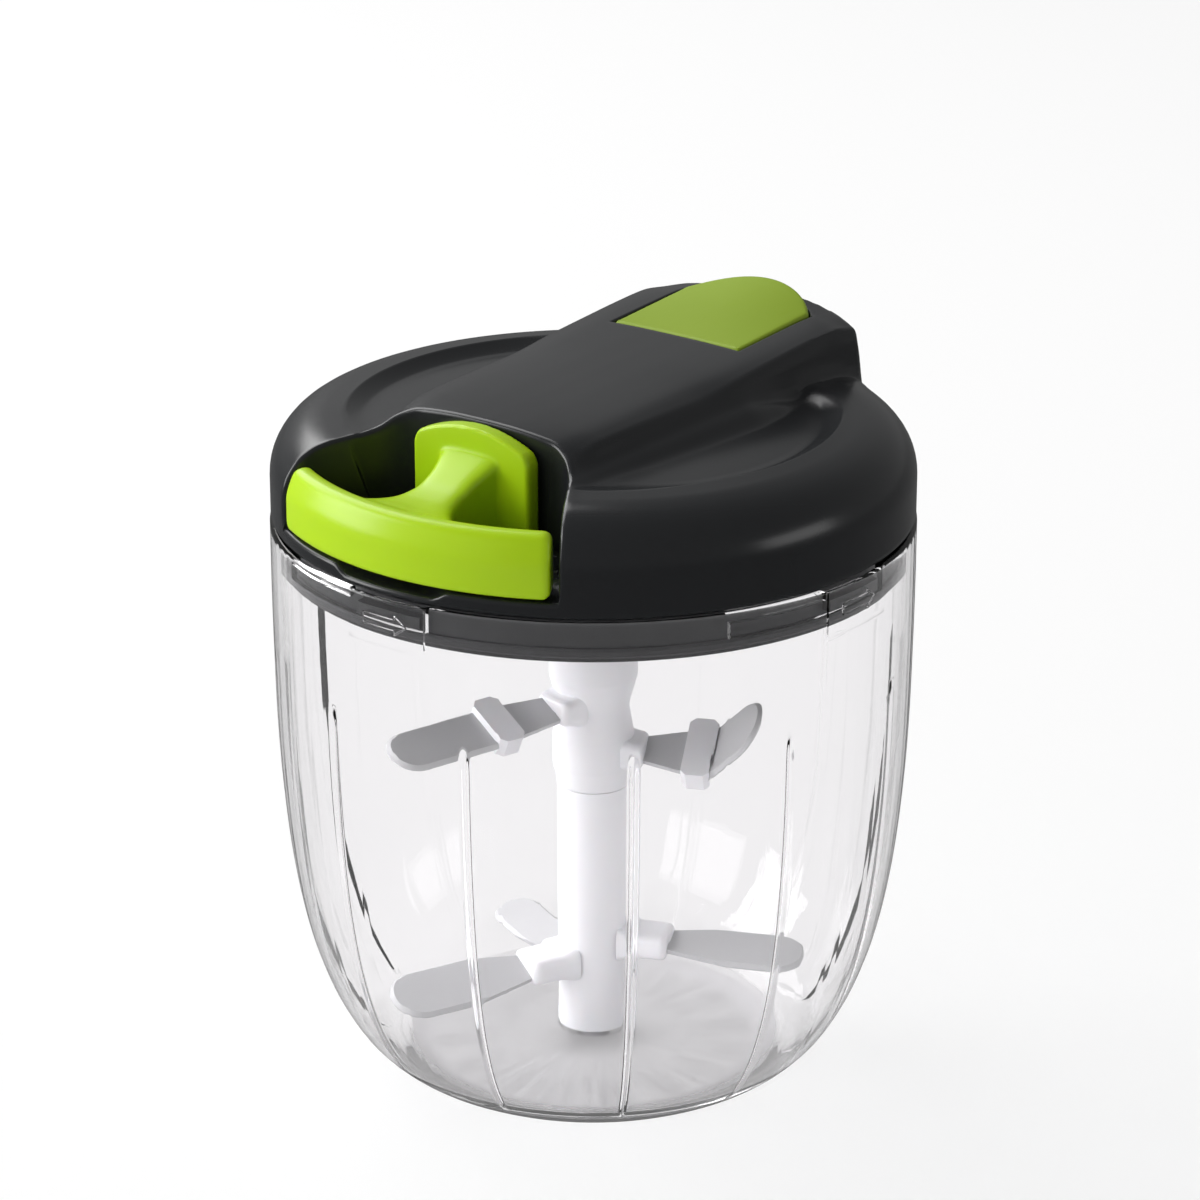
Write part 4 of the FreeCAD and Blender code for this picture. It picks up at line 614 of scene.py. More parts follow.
@dataclass(frozen=True)
class Braid:
    """Braided cord, its diamonds laid out on the piece's own UV map."""

    name: str
    light: Colour
    dark: Colour
    strands: int = 6

    def material(self, effects: Effects) -> bpy.types.Material:
        """Material of this finish: two sets of slanted waves, multiplied."""
        material, tree, shader = new_material(self.name)
        uv = node(tree, "ShaderNodeUVMap", uv_map="UVMap").outputs["UV"]
        split = node(tree, "ShaderNodeSeparateXYZ", {0: uv}).outputs
        waves = []
        for sign in (1.0, -1.0):
            slant = maths(tree, "MULTIPLY_ADD", split["Y"], sign, split["X"])
            waves.append(maths(tree, "SINE", maths(tree, "MULTIPLY", slant, 2 * math.pi * self.strands)))
        weave = ranged(tree, maths(tree, "MULTIPLY", *waves), 0.0, 1.0, -1.0, 1.0)
        feed(tree, shader.inputs["Base Color"], mix_colour(tree, weave, four(self.dark), four(self.light)))
        feed(tree, shader.inputs["Roughness"], 0.75)
        feed(tree, shader.inputs["Sheen Weight"], 0.3)
        bump_from(tree, weave, shader, 0.5, 0.0002)
        return material


FINISHES = (
    ClearPlastic("clear_bowl", (0.955, 0.948, 0.955), 0.01, 1.36, frost_tint=(0.74, 0.73, 0.745),
                 frost_radius=0.0385, frost_roughness=0.3),
    Plastic("lid_gloss", (0.015, 0.016, 0.0175), (0.012, 0.013, 0.0145), (0.2, 0.26), grain=0.02,
            scratch=0.03, specular=0.42),
    Plastic("lid_matte", (0.016, 0.017, 0.0195), (0.013, 0.014, 0.016), (0.42, 0.52), grain_scale=1600.0,
            grain=0.1),
    # Tray: the lid's matte charcoal darkened to about half, as painted shade for the tray that sits low in
    # the bowl's rim
    Plastic("tray_matte_painted_shade", (0.009, 0.0095, 0.011), (0.0075, 0.008, 0.0095), (0.42, 0.52), grain_scale=1600.0,
            grain=0.1),
    Plastic("lime_gloss", (0.41, 0.635, 0.008), (0.38, 0.6, 0.006), (0.26, 0.34), grain=0.015, scratch=0.0,
            glow=0.06, specular=0.32),
    Plastic("lime_satin", (0.25, 0.36, 0.018), (0.235, 0.345, 0.016), (0.42, 0.5), grain_scale=1800.0,
            grain=0.08, specular=0.3),
    Plastic("white_plastic", (0.86, 0.855, 0.88), (0.83, 0.825, 0.85), (0.32, 0.42), grain=0.05, glow=0.05),
    Plastic("seal_rubber", (0.022, 0.022, 0.024), (0.018, 0.018, 0.02), (0.5, 0.62), grain=0.12),
    BrushedMetal("blade_steel", (0.56, 0.56, 0.57), (0.53, 0.53, 0.54), (0.5, 0.56), streak=0.03,
                 metallic=0.15),
    BrushedMetal("pin_steel", (0.74, 0.74, 0.75), (0.7, 0.7, 0.71), (0.5, 0.6), streak=0.02, metallic=0.2),
    BrushedMetal("spring_steel", (0.32, 0.34, 0.38), (0.2, 0.22, 0.27), (0.28, 0.4)),
    BrushedMetal("screw_steel", (0.6, 0.6, 0.58), (0.46, 0.46, 0.46), (0.3, 0.42)),
    TurnedMetal("machined_steel", (0.62, 0.62, 0.63), (0.5, 0.5, 0.52), 0.26),
    TurnedMetal("roller_steel", (0.8, 0.8, 0.82), (0.7, 0.7, 0.72), 0.12, depth=0.03),
    TurnedMetal("bush_brass", (0.8, 0.62, 0.3), (0.66, 0.48, 0.22), 0.24),
    TurnedMetal("eyelet_chrome", (0.82, 0.82, 0.84), (0.74, 0.74, 0.76), 0.1, depth=0.02),
    Braid("cord_fibre", (0.82, 0.80, 0.76), (0.55, 0.53, 0.5)),
)


class Palette:
    """Material of each slot, built the first time that it is asked for."""

    def __init__(self) -> None:
        """Build the shared effects, and no material yet."""
        self.effects = Effects()
        self.made: dict[str, bpy.types.Material] = {}

    def __getitem__(self, slot: str) -> bpy.types.Material:
        """Material of a slot."""
        if slot not in self.made:
            finish = next(finish for finish in FINISHES if finish.name == slot)
            self.made[slot] = finish.material(self.effects)
        return self.made[slot]


# The studio


@dataclass(frozen=True)
class Lamp:
    """Soft rectangular lamp that looks at the object."""

    name: str
    place: tuple[float, float, float]
    size: tuple[float, float]
    power: float
    mirrored: bool = True

    def build(self, target: Array) -> None:
        """Make the lamp, aimed at the target, and seen in reflections or not."""
        data = bpy.data.lights.new(self.name, "AREA")
        data.shape = "RECTANGLE"
        data.size, data.size_y = self.size
        data.energy = self.power
        lamp = placed(self.name, data)
        lamp.visible_glossy = self.mirrored
        aim_at(lamp, np.array(self.place), target)


def aim_at(thing: bpy.types.Object, place: Array, target: Array) -> None:
    """Put an object at a place with its -Z axis towards a target and its +Y axis upward."""
    back = (place - target) / np.linalg.norm(place - target)
    right = np.cross([0.0, 0.0, 1.0], back)
    right /= np.linalg.norm(right)
    up = np.cross(back, right)
    rows = np.eye(4)
    rows[:3, 0], rows[:3, 1], rows[:3, 2], rows[:3, 3] = right, up, back, place
    thing.matrix_world = Matrix(rows.tolist())


@dataclass
class Studio:
    """Pale floor, soft lamps and the camera at the photograph's angle. Lengths in metres."""

    target: tuple[float, float, float] = (0.0, 0.0, 0.099)
    distance: float = 0.9
    azimuth: float = 38.0
    elevation: float = 20.75
    focal_pixels: float = 4480.0
    image_pixels: float = 1200.0
    axis_pixel: float = 593.5
    floor_half: float = 6.0
    floor_seen: float = 0.75
    floor_mirrored: float = 0.15
    world_light: float = 0.25
    lamps: tuple[Lamp, ...] = (
        Lamp("high_lamp", (-1.05, 0.2, 1.05), (1.1, 1.1), 14.0),
        Lamp("rear_lamp", (-1.0, 0.75, 0.75), (1.0, 0.8), 0.3),
        Lamp("top_lamp", (-0.35, -0.3, 1.5), (0.8, 0.8), 3.0, mirrored=False),
        Lamp("left_lamp", (-1.2, -0.8, 0.6), (0.8, 0.9), 14.5),
        Lamp("right_lamp", (1.25, 0.5, 0.36), (0.7, 0.35), 1.5),
        Lamp("front_lamp", (-0.3, -1.35, 0.5), (0.9, 0.6), 4.5, mirrored=False),
    )

    def build(self) -> None:
        """Make everything that isn't part of the object."""
        self.build_camera()
        for lamp in self.lamps:
            lamp.build(np.array(self.target))
        self.build_floor()
        self.build_world()
        bpy.context.scene.view_settings.view_transform = "Standard"

    def build_camera(self) -> None:
        """Camera on a sphere round the target, with the object's axis at its place across the image."""
        side, rise = math.radians(self.azimuth), math.radians(self.elevation)
        back = np.array([math.sin(side) * math.cos(rise), -math.cos(side) * math.cos(rise), math.sin(rise)])
        data = bpy.data.cameras.new("photo_camera")
        data.sensor_width = 36.0
        data.lens = self.focal_pixels / self.image_pixels * data.sensor_width
        data.shift_x = (self.image_pixels / 2 - self.axis_pixel) / self.image_pixels
        data.clip_start, data.clip_end = 0.05, 50.0
        camera = placed("photo_camera", data)
        aim_at(camera, np.array(self.target) + back * self.distance, np.array(self.target))
        bpy.context.scene.camera = camera

    def build_floor(self) -> None:
        """White floor that keeps a soft shadow and is near white for the camera."""
        half = self.floor_half
        mesh = bpy.data.meshes.new("studio_floor")
        mesh.from_pydata([(-half, -half, 0), (half, -half, 0), (half, half, 0), (-half, half, 0)], [],
                         [(0, 1, 2, 3)])
        floor = placed("studio_floor", mesh)
        material, tree, shader = new_material("studio_floor")
        for label, value in {"Base Color": four((0.9, 0.9, 0.9)), "Roughness": 0.9,
                             "Specular IOR Level": 0.0}.items():
            feed(tree, shader.inputs[label], value)
        rays = tree.nodes.new("ShaderNodeLightPath").outputs
        seen = rays["Is Camera Ray"]
        for name in ("Is Glossy Ray", "Is Transmission Ray"):
            seen = maths(tree, "MAXIMUM", seen, rays[name])
        white, mirrored = (node(tree, "ShaderNodeEmission", {"Color": four((1, 1, 1)), "Strength": strength})
                           for strength in (1.0, self.floor_mirrored))
        plain = mix_shader(tree, maths(tree, "MULTIPLY", seen, self.floor_seen), shader.outputs["BSDF"],
                           white.outputs["Emission"])
        only = maths(tree, "SUBTRACT", rays["Is Glossy Ray"], rays["Is Transmission Ray"], use_clamp=True)
        feed(tree, tree.nodes["Material Output"].inputs["Surface"],
             mix_shader(tree, only, plain, mirrored.outputs["Emission"]))
        mesh.materials.append(material)

    def build_world(self) -> None:
        """Soft grey surroundings for light, white for what the camera sees, also through the bowl."""
        world = bpy.data.worlds.new("studio_world")
        bpy.context.scene.world = world
        world.use_nodes = True
        tree = world.node_tree
        soft = tree.nodes["Background"]
        soft.inputs["Color"].default_value = four((1, 1, 1))
        soft.inputs["Strength"].default_value = self.world_light
        white = node(tree, "ShaderNodeBackground", {"Color": four((1, 1, 1)), "Strength": 1.0})
        rays = tree.nodes.new("ShaderNodeLightPath").outputs
        either = maths(tree, "MAXIMUM", rays["Is Camera Ray"], rays["Is Transmission Ray"])
        feed(tree, tree.nodes["World Output"].inputs["Surface"],
             mix_shader(tree, either, soft.outputs["Background"], white.outputs["Background"]))


# The lid


@dataclass
class LidCover:
    """Charcoal cover: a low dome with an arched ridge, two thumb scoops and the handle's pocket.

    The ridge runs from the pocket's back wall to the rear and holds the well of the vent button.
    """

    rim_radius: float = 64.2
    edge_level: float = 119.0
    edge_bevel: float = 0.6
    dome_round: float = 420.0
    dome_centre: float = -277.55
    dome_end: float = 54.2
    shoulder_circle: float = 52.7
    shoulder_round: float = 11.5
    shoulder_level: float = 127.4
    wall: float = 2.0
    crease: float = 1.1
    scoop_circle: float = 49.2
    scoop_rear: float = 37.5
    scoop_rear_bank: float = 7.5
    scoop_bank: float = 4.0
    scoop_foot: float = 25.0
    scoop_narrow: float = 26.0
    scoop_depth_rows: tuple[float, ...] = (-44, -40, -34, -20, 0, 20, 36)
    scoop_depths: tuple[float, ...] = (0.5, 0.8, 1.3, 2.0, 2.3, 2.2, 1.7)
    scoop_heel_rows: tuple[float, ...] = (-30, 0, 20, 30, 36)
    scoop_heels: tuple[float, ...] = (0.0, 0.8, 1.2, 0.7, 0.1)
    crown_rows: tuple[float, ...] = (-34, -20, 0, 27, 50)
    crown_levels: tuple[float, ...] = (145.9, 146.6, 147.2, 148.3, 149.5)
    crest_rows: tuple[float, ...] = (-34, -30, -26, -14, 3, 16, 30, 37, 47, 54, 60)
    crest_levels: tuple[float, ...] = (
        142.6, 143.8, 144.5, 144.9, 145.0, 146.2, 147.3, 147.8, 148.3, 147.1, 145.2)
    foot_rows: tuple[float, ...] = (-34, -26, -14, 13, 22, 32.5, 44.6, 61.8)
    foot_levels: tuple[float, ...] = (140.7, 141.2, 141.8, 142.3, 140.9, 138.7, 138.6, 134.2)
    spread_rows: tuple[float, ...] = (-34, -14, 15, 37, 47, 54, 60)
    spreads: tuple[float, ...] = (1.0, 1.05, 1.09, 1.09, 1.08, 1.1, 1.12)
    ridge_knots: tuple[float, ...] = (0, 6, 11, 15.3, 17.5, 19.2, 20.7, 22, 24, 26, 30)
    fall_shares: tuple[float, ...] = (0, 0.03, 0.12, 0.26, 0.38, 0.54, 0.75, 1.0)
    foot_drops: tuple[float, ...] = (0.0, 1.5, 8.0)
    ridge_end: float = 60.3
    ridge_end_drop: float = 22.0
    ridge_end_reach: float = 3.3
    block_end: float = 61.2
    block_end_half: float = 26.0
    block_half: float = 29.0
    block_straight: tuple[float, float] = (-8.0, 50.0)
    fine_reach: float = 17.3
    fine_columns: tuple[float, ...] = (15.7, 15.9, 16.0, 16.02, 16.12, 16.25, 16.45, 16.8, 17.3)
    edge_shares: tuple[float, ...] = (0.02, 0.1, 0.3, 0.6)
    well_front: float = 26.5
    well_half: float = 16.0
    well_straight: float = 51.0
    well_rear_centre: float = 40.19
    well_rear_round: float = 19.31
    well_floor: float = 142.7
    well_edge: float = 0.45
    pocket_bearing: float = 33.0
    pocket_back: float = -34.0
    pocket_floor: float = 122.2
    pocket_fillet: float = 1.2
    lip: float = 0.9
    corner_round: float = 11.0
    notch_radius: float = 18.0
    notch_depth: float = 1.6
    notch_past: float = 9.0
    notch_bank: float = 3.0
    eyelet_level: float = 129.45
    eyelet_reach: float = 2.4
    boss_level: float = 132.4
    boss_top: float = 146.0
    boss_radius: float = 6.5
    boss_bore: float = 4.65

    def dome(self, radius: Array) -> Array:
        """Level of the plain dome: a sphere out to its end, and a round shoulder beyond it."""
        inner = self.dome_centre + np.sqrt(self.dome_round ** 2 - np.minimum(radius, self.dome_end) ** 2)
        turn = np.clip(radius - self.shoulder_circle, 0.0, self.shoulder_round)
        shoulder = self.shoulder_level + np.sqrt(self.shoulder_round ** 2 - turn ** 2)
        return np.where(radius <= self.dome_end, inner, shoulder)

    def scooped(self, x: Array, y: Array) -> Array:
        """Level of the dome with its thumb scoops.

        Formula: the dome less bank * (depth + heel * (1 - u)^1.5). The bank is 1 - (1 - t)^1.3, where t is
        the distance inside the scoop's circle over the bank's width, times an ease to the rear end, and u
        runs from 0 at the ridge's foot to 1 at the circle.
        """
        radius = np.hypot(x, y)
        bank = 1 - (1 - np.clip((self.scoop_circle - radius) / self.scoop_bank, 0.0, 1.0)) ** 1.3
        bank = bank * ease(self.scoop_rear - y, 0.0, self.scoop_rear_bank)
        depth = curve_through(self.scoop_depth_rows, self.scoop_depths, y)
        heel = curve_through(self.scoop_heel_rows, self.scoop_heels, y)
        edge = np.sqrt(np.maximum(self.scoop_circle ** 2 - y ** 2, self.scoop_narrow ** 2))
        across = np.clip((np.abs(x) - self.scoop_foot) / (edge - self.scoop_foot), 0.0, 1.0)
        return self.dome(radius) - bank * (depth + heel * (1 - across) ** 1.5)

    def ridge(self, x: Array, y: Array) -> Array:
        """Level of the ridge: at each y a smooth curve over |x| from crown to crest to foot."""
        crown = curve_through(self.crown_rows, self.crown_levels, y)
        crest = curve_through(self.crest_rows, self.crest_levels, y)
        foot = curve_through(self.foot_rows, self.foot_levels, y)
        levels = [crown + (crest - crown) * share for share in self.fall_shares]
        levels += [foot - drop for drop in self.foot_drops]
        spread = curve_through(self.spread_rows, self.spreads, y)
        height = curve_through(self.ridge_knots, np.stack(levels), np.abs(x) / spread)
        past = np.maximum(np.hypot(x, y) - self.ridge_end, 0.0) / self.ridge_end_reach
        return height - self.ridge_end_drop * past ** 1.6

    def top(self, x: Array, y: Array) -> Array:
        """Level of the whole top: the higher of ridge and scooped dome, with a soft crease between."""
        return smooth_max(self.ridge(x, y), self.scooped(x, y), self.crease)

    def front_edge(self, share: Array) -> Array:
        """Edge of the pocket's back wall in plan: straight, with a round corner towards each side wall.

        Args:
            share: place along the edge from -1 to 1, by length.

        Returns:
            The points, (n, 2).
        """
        bearing = math.radians(self.pocket_bearing)
        line = -self.pocket_back - self.lip
        turn = math.pi / 2 - bearing
        straight = line * math.tan(bearing) - self.corner_round * math.tan(turn / 2)
        way = np.abs(share) * (straight + self.corner_round * turn)
        angle = np.clip((way - straight) / self.corner_round, 0.0, turn)
        x = np.minimum(way, straight) + self.corner_round * np.sin(angle)
        y = -line - self.corner_round * (1 - np.cos(angle))
        return np.stack([np.sign(share) * x, y], axis=-1)

    def edge_directions(self, edge: Array) -> Array:
        """Directions into the pocket (n, 2) at points on its back edge, from the edge's own tangent."""
        reach = -edge[:, 1] - (-self.pocket_back - self.lip)
        angle = np.arccos(np.clip(1 - reach / self.corner_round, -1.0, 1.0))
        return np.stack([-np.sign(edge[:, 0]) * np.sin(angle), -np.cos(angle)], axis=1)

    def corner(self) -> float:
        """X of the pocket's corner in plan."""
        return self.front_edge(np.array([1.0]))[0, 0]

    def half_width(self, y: Array) -> Array:
        """Half of the width of the mesh's middle block at a row."""
        rows = (self.pocket_back + self.lip, *self.block_straight, self.block_end)
        return curve_through(rows, (self.corner(), self.block_half, self.block_half, self.block_end_half), y)

    def rear_of_well(self, x: Array) -> Array:
        """Y of the well's round rear end."""
        reach = np.minimum(np.abs(x), self.well_half)
        return self.well_rear_centre + np.sqrt(self.well_rear_round ** 2 - reach ** 2)

    def middle_columns(self) -> Array:
        """Signed column places: in mm up to the fine reach, and beyond it as that reach plus 0 to 1."""
        side = np.concatenate([np.linspace(0.0, 15.4, 21)[1:], self.fine_columns,
                               self.fine_reach + np.linspace(0, 1, 21)[1:]])
        return np.concatenate([-side[::-1], [0.0], side])

    def middle_block(self) -> tuple[Array, Array, Array]:
        """Rows and columns over the ridge from the pocket's lip to the rear.

        Returns:
            x and y of each point, and a mask of the points on the well's floor.
        """
        columns = self.middle_columns()
        fine = np.abs(columns)
        inside = fine <= self.well_half
        front = self.pocket_back + self.lip
        before = np.linspace(front, self.well_front - self.well_edge, 60)
        y = np.concatenate([before, self.well_front - self.well_edge * np.array(self.edge_shares[::-1]),
                            [self.well_front], np.linspace(self.well_front, self.well_straight, 21)[1:]])
        first_floor, straight_rows = len(before) + len(self.edge_shares), len(y)
        y = np.repeat(y[:, None], len(columns), axis=1)
        stretched = self.fine_reach + (fine - self.fine_reach) * (self.half_width(y) - self.fine_reach)
        x = np.sign(columns) * np.where(fine <= self.fine_reach, fine, stretched)
        edge_points = self.front_edge(x[0] / self.corner())
        near = 1 - ease(y, front, front + 22.0)
        x = x + (edge_points[:, 0] - x[0]) * near
        y = y + (edge_points[:, 1] - front) * near
        last_x = x[-1]
        bulge = np.where(inside, self.rear_of_well(last_x) - self.well_straight, 0.0)
        steps = np.linspace(0, 1, 8)[1:]
        y_bulge = self.well_straight + steps[:, None] * bulge
        lip_steps = self.well_edge * np.array([*self.edge_shares, 1.0])
        y_lip = y_bulge[-1] + lip_steps[:, None] * np.where(inside, 1.0, 0.0)
        end = np.sqrt(self.block_end ** 2 - last_x ** 2)
        y_rear = y_lip[-1] + np.linspace(0, 1, 11)[1:, None] * (end - y_lip[-1])
        y = np.concatenate([y, y_bulge, y_lip, y_rear])
        x = np.concatenate([x, np.repeat(last_x[None], len(y) - len(x), axis=0)])
        floor = np.zeros_like(x, bool)
        floor[first_floor:straight_rows + len(steps), :] = inside
        return x, y, floor

    def well_lip(self, x: Array, y: Array) -> Array:
        """Drop of the top beside the well, from a quarter circle round its edge."""
        sides = np.abs(x) - self.well_half
        front = self.well_front - y
        rear = y - self.rear_of_well(x)
        away = np.maximum(np.maximum(sides, front), rear)
        share = np.clip(1 - away / self.well_edge, 0.0, 1.0)
        return self.well_edge * (1 - np.sqrt(np.maximum(1 - share ** 2, 0.0)))

    def ring_lines(self, x: Array, y: Array) -> Array:
        """Lines from the middle block's border out over the dome and down the skirt.

        Args:
            x: border places.
            y: border places.

        Returns:
            The lines' points, (rows, border, 3).
        """
        start = np.hypot(x, y)
        along, across = x / start, y / start
        first = np.maximum(self.shoulder_circle, start + 0.25 * (self.rim_radius - start))
        circle = self.scoop_circle
        marks = np.concatenate([np.linspace(self.scoop_narrow, circle - self.scoop_bank, 11),
                                np.linspace(circle - self.scoop_bank, circle, 11)[1:],
                                circle + np.array([0.15, 0.5, 1.2, 2.2]), [self.shoulder_circle]])[:, None]
        t = np.linspace(0, 1, len(marks))[:, None]
        radius = np.clip(start + t * (first - start), np.minimum(marks, first), None)
        begin = np.arcsin((first - self.shoulder_circle) / self.shoulder_round)
        turn = begin + np.linspace(0, 1, 15)[1:, None] * (math.pi / 2 - begin)
        shoulder = self.shoulder_circle + self.shoulder_round * np.sin(turn)
        radius = np.concatenate([radius, shoulder])
        top_x, top_y = radius * along, radius * across
        level = self.top(top_x, top_y)
        level[-1] = self.shoulder_level
        rim = self.skirt_rows()
        radius = np.concatenate([radius, np.repeat(rim[:, :1], len(x), axis=1)])
        level = np.concatenate([level, np.repeat(rim[:, 1:], len(x), axis=1)])
        return np.stack([radius * along, radius * across, level], axis=2)

    def skirt_rows(self) -> Array:
        """(radius, level) of the upright skirt below the shoulder and its bevelled edge."""
        floor, edge = self.pocket_floor - self.lip, self.edge_level + self.edge_bevel
        levels = np.concatenate([np.linspace(self.shoulder_level, floor, 13)[1:],
                                 np.linspace(floor, edge, 3)[1:]])
        rows = [(self.rim_radius, level) for level in levels]
        return np.array(rows + [(self.rim_radius - self.edge_bevel, self.edge_level)])

    def pocket_lines(self, edge: Array, inward: Array, rows: int) -> Array:
        """Lines from the front of the ridge over its lip, down the pocket's back wall and out to the rim.

        Args:
            edge: points (n, 3) along the front row of the middle block.
            inward: direction (n, 2) into the pocket at each of them.
            rows: number of rows wanted.

        Returns:
            The lines' points, (rows, n, 3).
        """
        quarter = np.radians(np.linspace(0, 90, 5))[:, None]
        level = edge[:, 2]
        away = [self.lip * np.sin(quarter) + 0 * level]
        height = [level - self.lip * (1 - np.cos(quarter))]
        bend = quarter[1:]
        wall_low = self.pocket_floor + self.pocket_fillet
        down = np.linspace(0, 1, 13)[1:, None]
        height.append(level - self.lip + down * (wall_low - (level - self.lip)))
        away.append(np.full_like(height[-1], self.lip))
        away.append(self.lip + self.pocket_fillet * (1 - np.cos(bend)) + 0 * level)
        height.append(wall_low - self.pocket_fillet * np.sin(bend) + 0 * level)
        away, height = np.concatenate(away), np.concatenate(height)
        plan = edge[None, :, :2] + away[..., None] * inward[None]
        aim = np.arctan2(edge[:, 0], -edge[:, 1])
        aim = aim / np.abs(aim).max() * (math.radians(self.pocket_bearing) - self.lip / self.rim_radius)
        heading = np.stack([np.sin(aim), -np.cos(aim)], axis=1)
        step = np.array([0.5, 1.0])[:, None]
        tail = len(bend) + len(step) + 1
        out = np.linspace(0, 1, rows - len(plan) - tail + 1)[1:, None, None]
        floor = plan[-1] + out * (heading * (self.rim_radius - self.lip) - plan[-1])
        reach = np.hypot(floor[..., 0], floor[..., 1] + self.rim_radius + self.notch_past)
        dip = self.notch_depth * ease(self.notch_radius - reach, 0.0, self.notch_bank)
        low = self.pocket_floor - dip[-1] - self.lip * (1 - np.cos(bend))
        radius = self.rim_radius - self.lip + self.lip * np.sin(bend) + 0 * level
        skirt = low[-1] + step * (self.edge_level + self.edge_bevel - low[-1])
        radius = np.concatenate([radius, np.full_like(skirt, self.rim_radius),
                                 np.full_like(skirt[:1], self.rim_radius - self.edge_bevel)])
        plan = np.concatenate([plan, floor, radius[..., None] * heading])
        height = np.concatenate([height, self.pocket_floor - dip, low, skirt,
                                 np.full_like(skirt[:1], self.edge_level)])
        return np.concatenate([plan, height[..., None]], axis=2)

    def side_wall(self, outer: Array, inner: Array, inward: Array) -> Array:
        """Wall at one side of the pocket, between the top's first line and the pocket's last line.

        Formula: each row leaves the outer line in a quarter circle towards the pocket, which ends at the
        pocket's own offset, and goes straight on to the pocket's line. It flattens out below the floor.

        Args:
            outer: line (n, 3) over the top and down the skirt.
            inner: line (n, 3) down the back wall, along the floor and down the skirt.
            inward: direction (2,) into the pocket at this side.

        Returns:
            The wall's points, (rows, n, 3).
        """
        towards = np.array([*inward, 0.0])
        outward = np.array([outer[-1, 0], outer[-1, 1], 0.0]) / np.hypot(*outer[-1, :2])
        way = np.gradient(outer, axis=0)
        along, rise = way @ outward, way[:, 2]
        size = np.maximum(np.hypot(along, rise), 1e-9)
        down = (rise / size)[:, None] * outward - (along / size)[:, None] * np.array([0.0, 0.0, 1.0])
        offset = np.clip((inner - outer) @ towards, 0.0, self.lip) / self.lip
        full = np.arcsin(offset)
        depth = self.lip * ease(outer[:, 2], self.pocket_floor - 0.4, self.pocket_floor + 2.0)
        rows = []
        for share in np.linspace(0, 1, 7):
            turn = (full * share)[:, None]
            rows.append(outer + towards * self.lip * np.sin(turn)
                        + down * depth[:, None] * (1 - np.cos(turn)))
        bent = rows[-1]
        rows += [bent + share * (inner - bent) for share in np.linspace(0, 1, 11)[1:]]
        return np.stack(rows)

    def build(self, palette: "Palette") -> None:
        """Make the cover as one closed shell with its boss, and put it on the lid."""
        shell = Shell()
        x, y, floor = self.middle_block()
        level = np.where(floor, self.well_floor, self.top(x, y) - self.well_lip(x, y))
        block = np.stack([x, y, level], axis=2)
        shell.add_grid(block)
        border = np.concatenate([block[:-1, -1], block[-1, ::-1], block[-2::-1, 0]])
        rings = self.ring_lines(border[:, 0], border[:, 1])
        rings[0] = border
        shell.add_grid(rings)
        inward = self.edge_directions(block[0])
        pocket = self.pocket_lines(block[0], inward, len(rings))
        pocket[0] = block[0]
        shell.add_grid(pocket)
        shell.drop((0.0, self.pocket_back, self.eyelet_level), self.eyelet_reach)
        shell.add_grid(self.side_wall(rings[:, 0], pocket[:, -1], inward[-1]))
        shell.add_grid(self.side_wall(rings[:, -1], pocket[:, 0], inward[0]))
        piece = shell.to_object("cover_shell", Facing.SOFT)
        wall = piece.modifiers.new("wall", "SOLIDIFY")
        wall.thickness = self.wall * METRES
        wall.offset = -1.0
        settle(piece, Body.LID, palette, "lid_gloss", "lid_cover")
        boss = Shell()
        boss.add_lathe(np.array([(self.boss_bore, self.boss_level), (self.boss_radius, self.boss_level),
                                 (self.boss_radius, self.boss_top), (self.boss_bore, self.boss_top),
                                 (self.boss_bore, self.boss_level)]), 48)
        settle(boss.to_object("cover_boss"), Body.LID, palette, "lid_gloss", "lid_cover")


